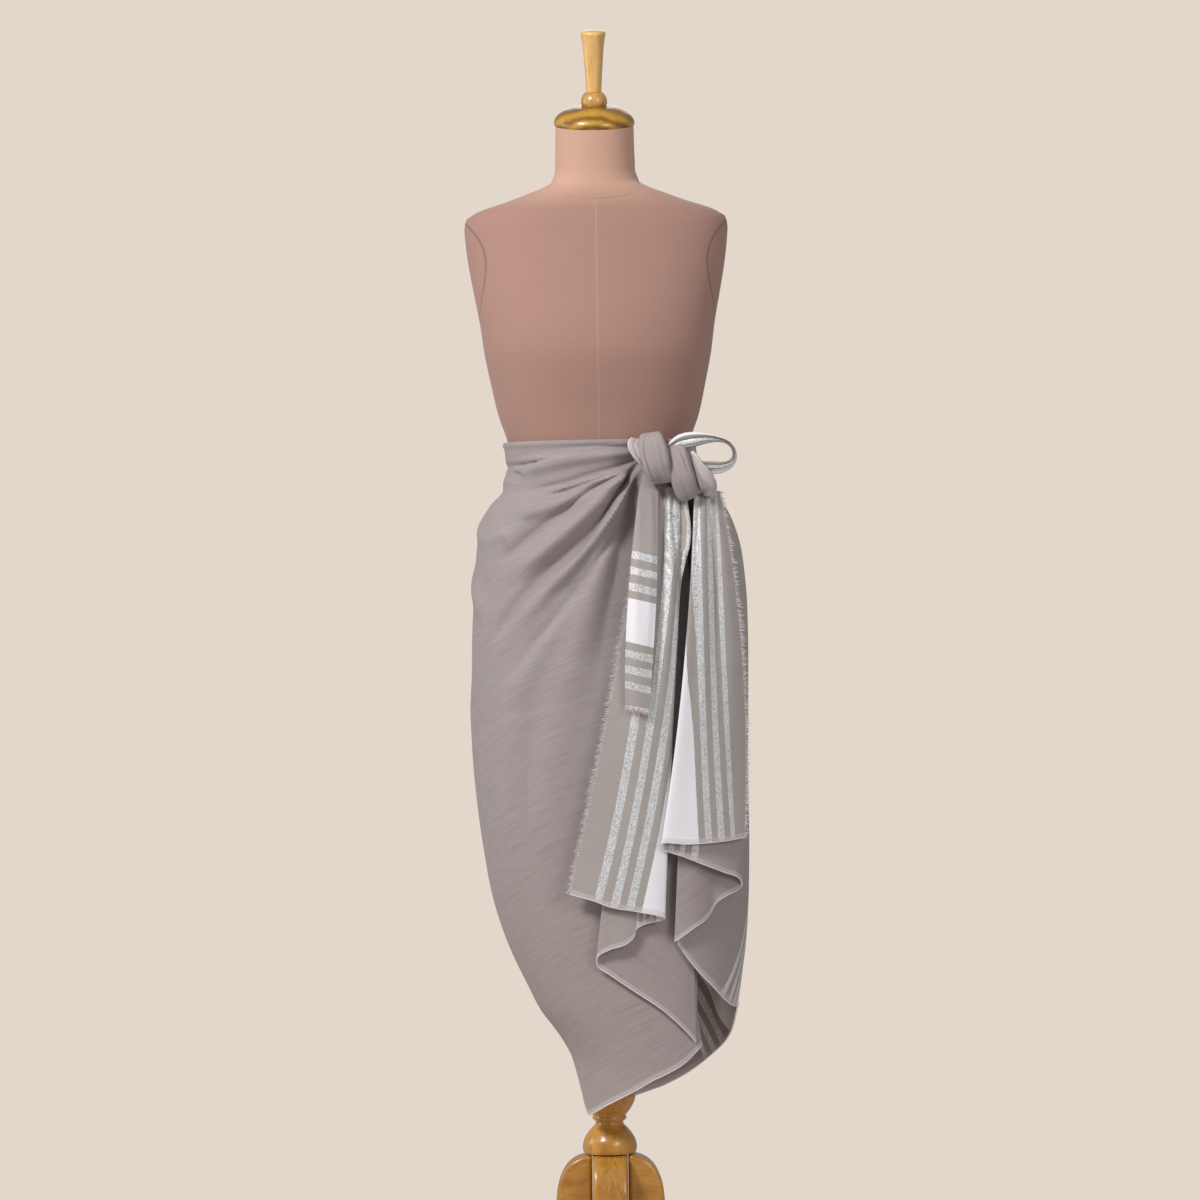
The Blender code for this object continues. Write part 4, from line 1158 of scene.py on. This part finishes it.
def build_knot(cotton):
    made = []
    for node, stations, settings in (
        ("knot_wrap", KNOT_WRAP, {"grooves": WRAP_CREASES}),
        ("knot_tuck", KNOT_TUCK, {"grooves": TUCK_CREASES, "hem": TUCK_HEM}),
        ("knot_fold_inner", KNOT_FOLD_INNER, {"grooves": INNER_CREASES}),
        ("knot_fold_outer", KNOT_FOLD_OUTER, {"grooves": OUTER_CREASES, "hem": OUTER_HEM}),
        ("knot_loop", KNOT_LOOP, {"grooves": LOOP_CREASES, "level": True, "marks": LOOP_MARKS}),
    ):
        made.append(place_piece(bundle(node + "_cloth", stations, cotton, **settings), [node]))
    return made


# ---- the form and its stand ----------------------------------------------------------------
def build_torso(cover):
    """The covered form, with the groove of the seam round its neck."""
    lower = np.linspace(FORM_BOTTOM, SEAM_BAND[0], 90, endpoint=False)
    upper = np.linspace(SEAM_BAND[1] + 3, NECK_TOP, 20)
    height = np.concatenate([lower, np.linspace(*SEAM_BAND, 56), upper])[:, None]
    turn = np.linspace(0, math.tau, COVER_SIDES, endpoint=False)[None, :]
    half_width, y_front, y_back = (through(FORM_SECTIONS, height, i) for i in (1, 2, 3))
    centre, half_depth = (y_front + y_back) / 2, (y_back - y_front) / 2
    slant = ease((height - SLANT_START) / (NECK_TOP - SLANT_START)) * math.tan(math.radians(NECK_TILT))
    x_unit, y_unit = power(np.cos(turn), 2 / FULLNESS), power(np.sin(turn), 2 / FULLNESS)
    seam_height = NECK_SEAM_FRONT + (NECK_SEAM_SIDE - NECK_SEAM_FRONT) * np.abs(np.cos(turn)) ** SEAM_CURVE
    groove = SEAM_DEPTH * np.exp(-(((height - seam_height) / SEAM_HALF) ** 2))
    x = (half_width - groove) * x_unit
    y = centre + (half_depth - groove) * y_unit
    z = height + slant * (y - centre) + 0 * turn
    rings = np.stack((x, y, z), axis=-1)
    piece = tube_mesh("form_torso_cover", rings, x, z, cover)
    return place_piece(piece, ["form_torso"])


def rounded_profile(profile, spacing=1.2):
    """More points on a turned profile, rounding it but keeping its corners on the axis."""
    points = np.array(profile, float)
    places = lengths_along(points[1:-1])
    at = np.linspace(0, places[-1], int(places[-1] / spacing) + 2)
    fine = smooth_columns(places, points[1:-1], at)
    fine[:, 0] = np.maximum(fine[:, 0], SMALLEST_RADIUS)
    return np.concatenate([points[:1], fine, points[-1:]])


def lathe(name, profile, material, node, seat=None, steps=96):
    work = bmesh.new()
    points = [work.verts.new((radius * MM, 0, height * MM)) for radius, height in profile]
    edges = [work.edges.new(pair) for pair in zip(points, points[1:])]
    bmesh.ops.spin(
        work, geom=points + edges, axis=(0, 0, 1), cent=(0, 0, 0), angle=math.tau, steps=steps, use_merge=True
    )
    bmesh.ops.remove_doubles(work, verts=work.verts, dist=1e-6)
    bmesh.ops.recalc_face_normals(work, faces=work.faces)
    made = add_object(name, mesh_of(work, name), material, TURNED_SHARP)
    if seat is not None:
        made.matrix_world = seat
    return place_piece(made, [node])


def build_cap(materials):
    neck_y = (FORM_SECTIONS[-1][2] + FORM_SECTIONS[-1][3]) / 2
    seat = Matrix.Rotation(math.radians(NECK_TILT), 4, "X")
    seat.translation = (0, neck_y * MM, (NECK_TOP + PART_GAP) * MM)
    cap, ball, grip = materials
    lathe("neck_cap_turned", rounded_profile(CAP_PROFILE), cap, "neck_cap", seat)
    lathe("cap_ball_turned", rounded_profile(BALL_PROFILE, 0.8), ball, "cap_ball", seat)
    lathe("cap_grip_turned", rounded_profile(GRIP_PROFILE), grip, "cap_grip", seat)


def build_stand(post_wood, leg_wood):
    top = FORM_BOTTOM - PART_GAP
    rim = (POLE_RADIUS - POLE_CHAMFER, POLE_FOOT), (POLE_RADIUS, 290)
    pole = ((0, POLE_FOOT), *rim, (POLE_RADIUS, top), (0, top))
    lathe("stand_pole_turned", pole, post_wood, "stand_pole")
    lathe("stand_post_turned", rounded_profile(POST_PROFILE), post_wood, "stand_post")

    work = bmesh.new()
    bmesh.ops.create_cube(work, size=1.0)
    tall = POST_FOOT - PART_GAP - HUB_FOOT
    bmesh.ops.scale(work, verts=work.verts, vec=(HUB_SIDE * MM, HUB_SIDE * MM, tall * MM))
    bmesh.ops.translate(work, verts=work.verts, vec=(0, 0, (HUB_FOOT + tall / 2) * MM))
    bmesh.ops.bevel(work, geom=work.edges, offset=HUB_BEVEL * MM, segments=3, affect="EDGES")
    hub = add_object("stand_hub_block", mesh_of(work, "stand_hub_block"), leg_wood, HUB_SHARP)
    place_piece(hub, ["stand_hub"])

    outline = leg_outline()
    for name, angle in (("right", 0), ("back", 90), ("left", 180), ("front", 270)):
        work = bmesh.new()
        side = [work.verts.new((x * MM, -LEG_WIDTH / 2 * MM, z * MM)) for x, z in outline]
        face = work.faces.new(side)
        grown = bmesh.ops.extrude_face_region(work, geom=[face])["geom"]
        far = [item for item in grown if isinstance(item, bmesh.types.BMVert)]
        bmesh.ops.translate(work, verts=far, vec=(0, LEG_WIDTH * MM, 0))
        bmesh.ops.recalc_face_normals(work, faces=work.faces)
        node = f"stand_leg_{name}"
        leg = add_object(node + "_carved", mesh_of(work, node + "_carved"), leg_wood, LEG_SHARP)
        leg.rotation_euler.z = math.radians(angle)
        bevel = leg.modifiers.new("rounded edges", "BEVEL")
        bevel.width = LEG_ROUNDING * MM
        bevel.segments = 4
        bevel.angle_limit = math.radians(LEG_ROUNDED_FROM)
        place_piece(leg, [node])


def leg_outline():
    """The leg's outline with smooth curves between its sharp corners."""
    rows = np.array(LEG_OUTLINE, float)
    corners = [*LEG_CORNERS, len(rows)]
    closed = np.concatenate([rows, rows[:1]])
    made = []
    for first, last in zip(corners, corners[1:]):
        run = closed[first : last + 1]
        if len(run) == 2:
            made.append(run[:1])
            continue
        places = lengths_along(run)
        at = np.linspace(0, places[-1], int(places[-1] / LEG_SPACING))
        made.append(smooth_columns(places, run, at)[:-1])
    return np.concatenate(made)


# ---- floor, light and camera ---------------------------------------------------------------
FLOOR_RADIUS = 1.04
FLOOR_HEIGHT = -0.0005
FLOOR_COLOUR = rgb(224, 213, 202)
ROOM_SEEN = rgb(227, 215, 203)
ROOM_LIGHT = (0.97, 0.95, 1.0, 1)
ROOM_STRENGTH = 0.29
LAMPLIGHT = (1.0, 0.99, 0.98)
LAMPS = (
    # name, place, size in m, power in W
    ("key", (-1.9, -2.5, 3.3), 0.85, 106),
    ("fill", (2.5, -3.9, 2.2), 1.3, 44),
    ("side", (-3.2, 0.1, 1.5), 1.4, 20),
    ("back", (0.4, 3.6, 2.8), 2.2, 18),
)
LAMPS_AIM = (0, 0, 0.9)
CAMERA_AT = (-0.0021, -6.0, 0.92)
CAMERA_ROLL = 0.87  # degrees
CAMERA_HALF_VIEW = 0.78  # of what is seen at the object, in metres


def build_stage():
    bpy.ops.mesh.primitive_circle_add(
        vertices=96, radius=FLOOR_RADIUS, fill_type="NGON", location=(0, 0, FLOOR_HEIGHT)
    )
    floor = bpy.context.object
    floor.name = "floor"
    floor.data.materials.append(plain_material("pale_floor", FLOOR_COLOUR, 0.9))

    # The room is pale to the eye, and lights the object with a dimmer, neutral grey.
    world = bpy.data.worlds.new("pale_room")
    world.use_nodes = True
    tree = world.node_tree
    seen = tree.nodes["Background"]
    seen.inputs[0].default_value = ROOM_SEEN
    ambient = tree.nodes.new("ShaderNodeBackground")
    ambient.inputs[0].default_value = ROOM_LIGHT
    ambient.inputs[1].default_value = ROOM_STRENGTH
    either = tree.nodes.new("ShaderNodeMixShader")
    tree.links.new(tree.nodes.new("ShaderNodeLightPath").outputs["Is Camera Ray"], either.inputs[0])
    tree.links.new(ambient.outputs[0], either.inputs[1])
    tree.links.new(seen.outputs[0], either.inputs[2])
    tree.links.new(either.outputs[0], tree.nodes["World Output"].inputs[0])
    bpy.context.scene.world = world

    for name, place, size, energy in LAMPS:
        data = bpy.data.lights.new(name, "AREA")
        data.size = size
        data.energy = energy
        data.color = LAMPLIGHT
        light = bpy.data.objects.new(name, data)
        light.location = place
        aim = Vector(LAMPS_AIM) - Vector(place)
        light.rotation_euler = aim.to_track_quat("-Z", "Y").to_euler()
        bpy.context.scene.collection.objects.link(light)


def build_camera():
    """Level, six metres off, and rolled a little, as the object stands a little off plumb."""
    data = bpy.data.cameras.new("camera")
    data.angle = 2 * math.atan(CAMERA_HALF_VIEW / -CAMERA_AT[1])
    camera = bpy.data.objects.new("camera", data)
    camera.location = CAMERA_AT
    camera.rotation_euler = (math.radians(90), math.radians(CAMERA_ROLL), 0)
    bpy.context.scene.collection.objects.link(camera)
    bpy.context.scene.camera = camera


def main():
    build_camera()
    build_stage()
    bpy.context.scene.view_settings.view_transform = "Standard"

    cotton = cotton_material()
    fringe = thread_material()
    cover = cover_material()
    cap_wood, ball_wood, grip_wood, post_wood, leg_wood = (wood_material(*row) for row in WOODS)

    right_cloth, back_cloth, front_cloth = build_wrap(cotton)
    (panel_left, outer_left, inner_left), left_points = build_left_end(cotton)
    (inner_right, outer_right, panel_right), right_points = build_right_end(cotton)
    tail, tail_points = build_tail(cotton)
    on_left, on_right, on_tail = build_fringes(left_points, right_points, tail_points, fringe)
    wrap, tuck, fold_inner, fold_outer, loop = build_knot(cotton)
    build_torso(cover)
    build_cap((cap_wood, ball_wood, grip_wood))
    build_stand(post_wood, leg_wood)


main()
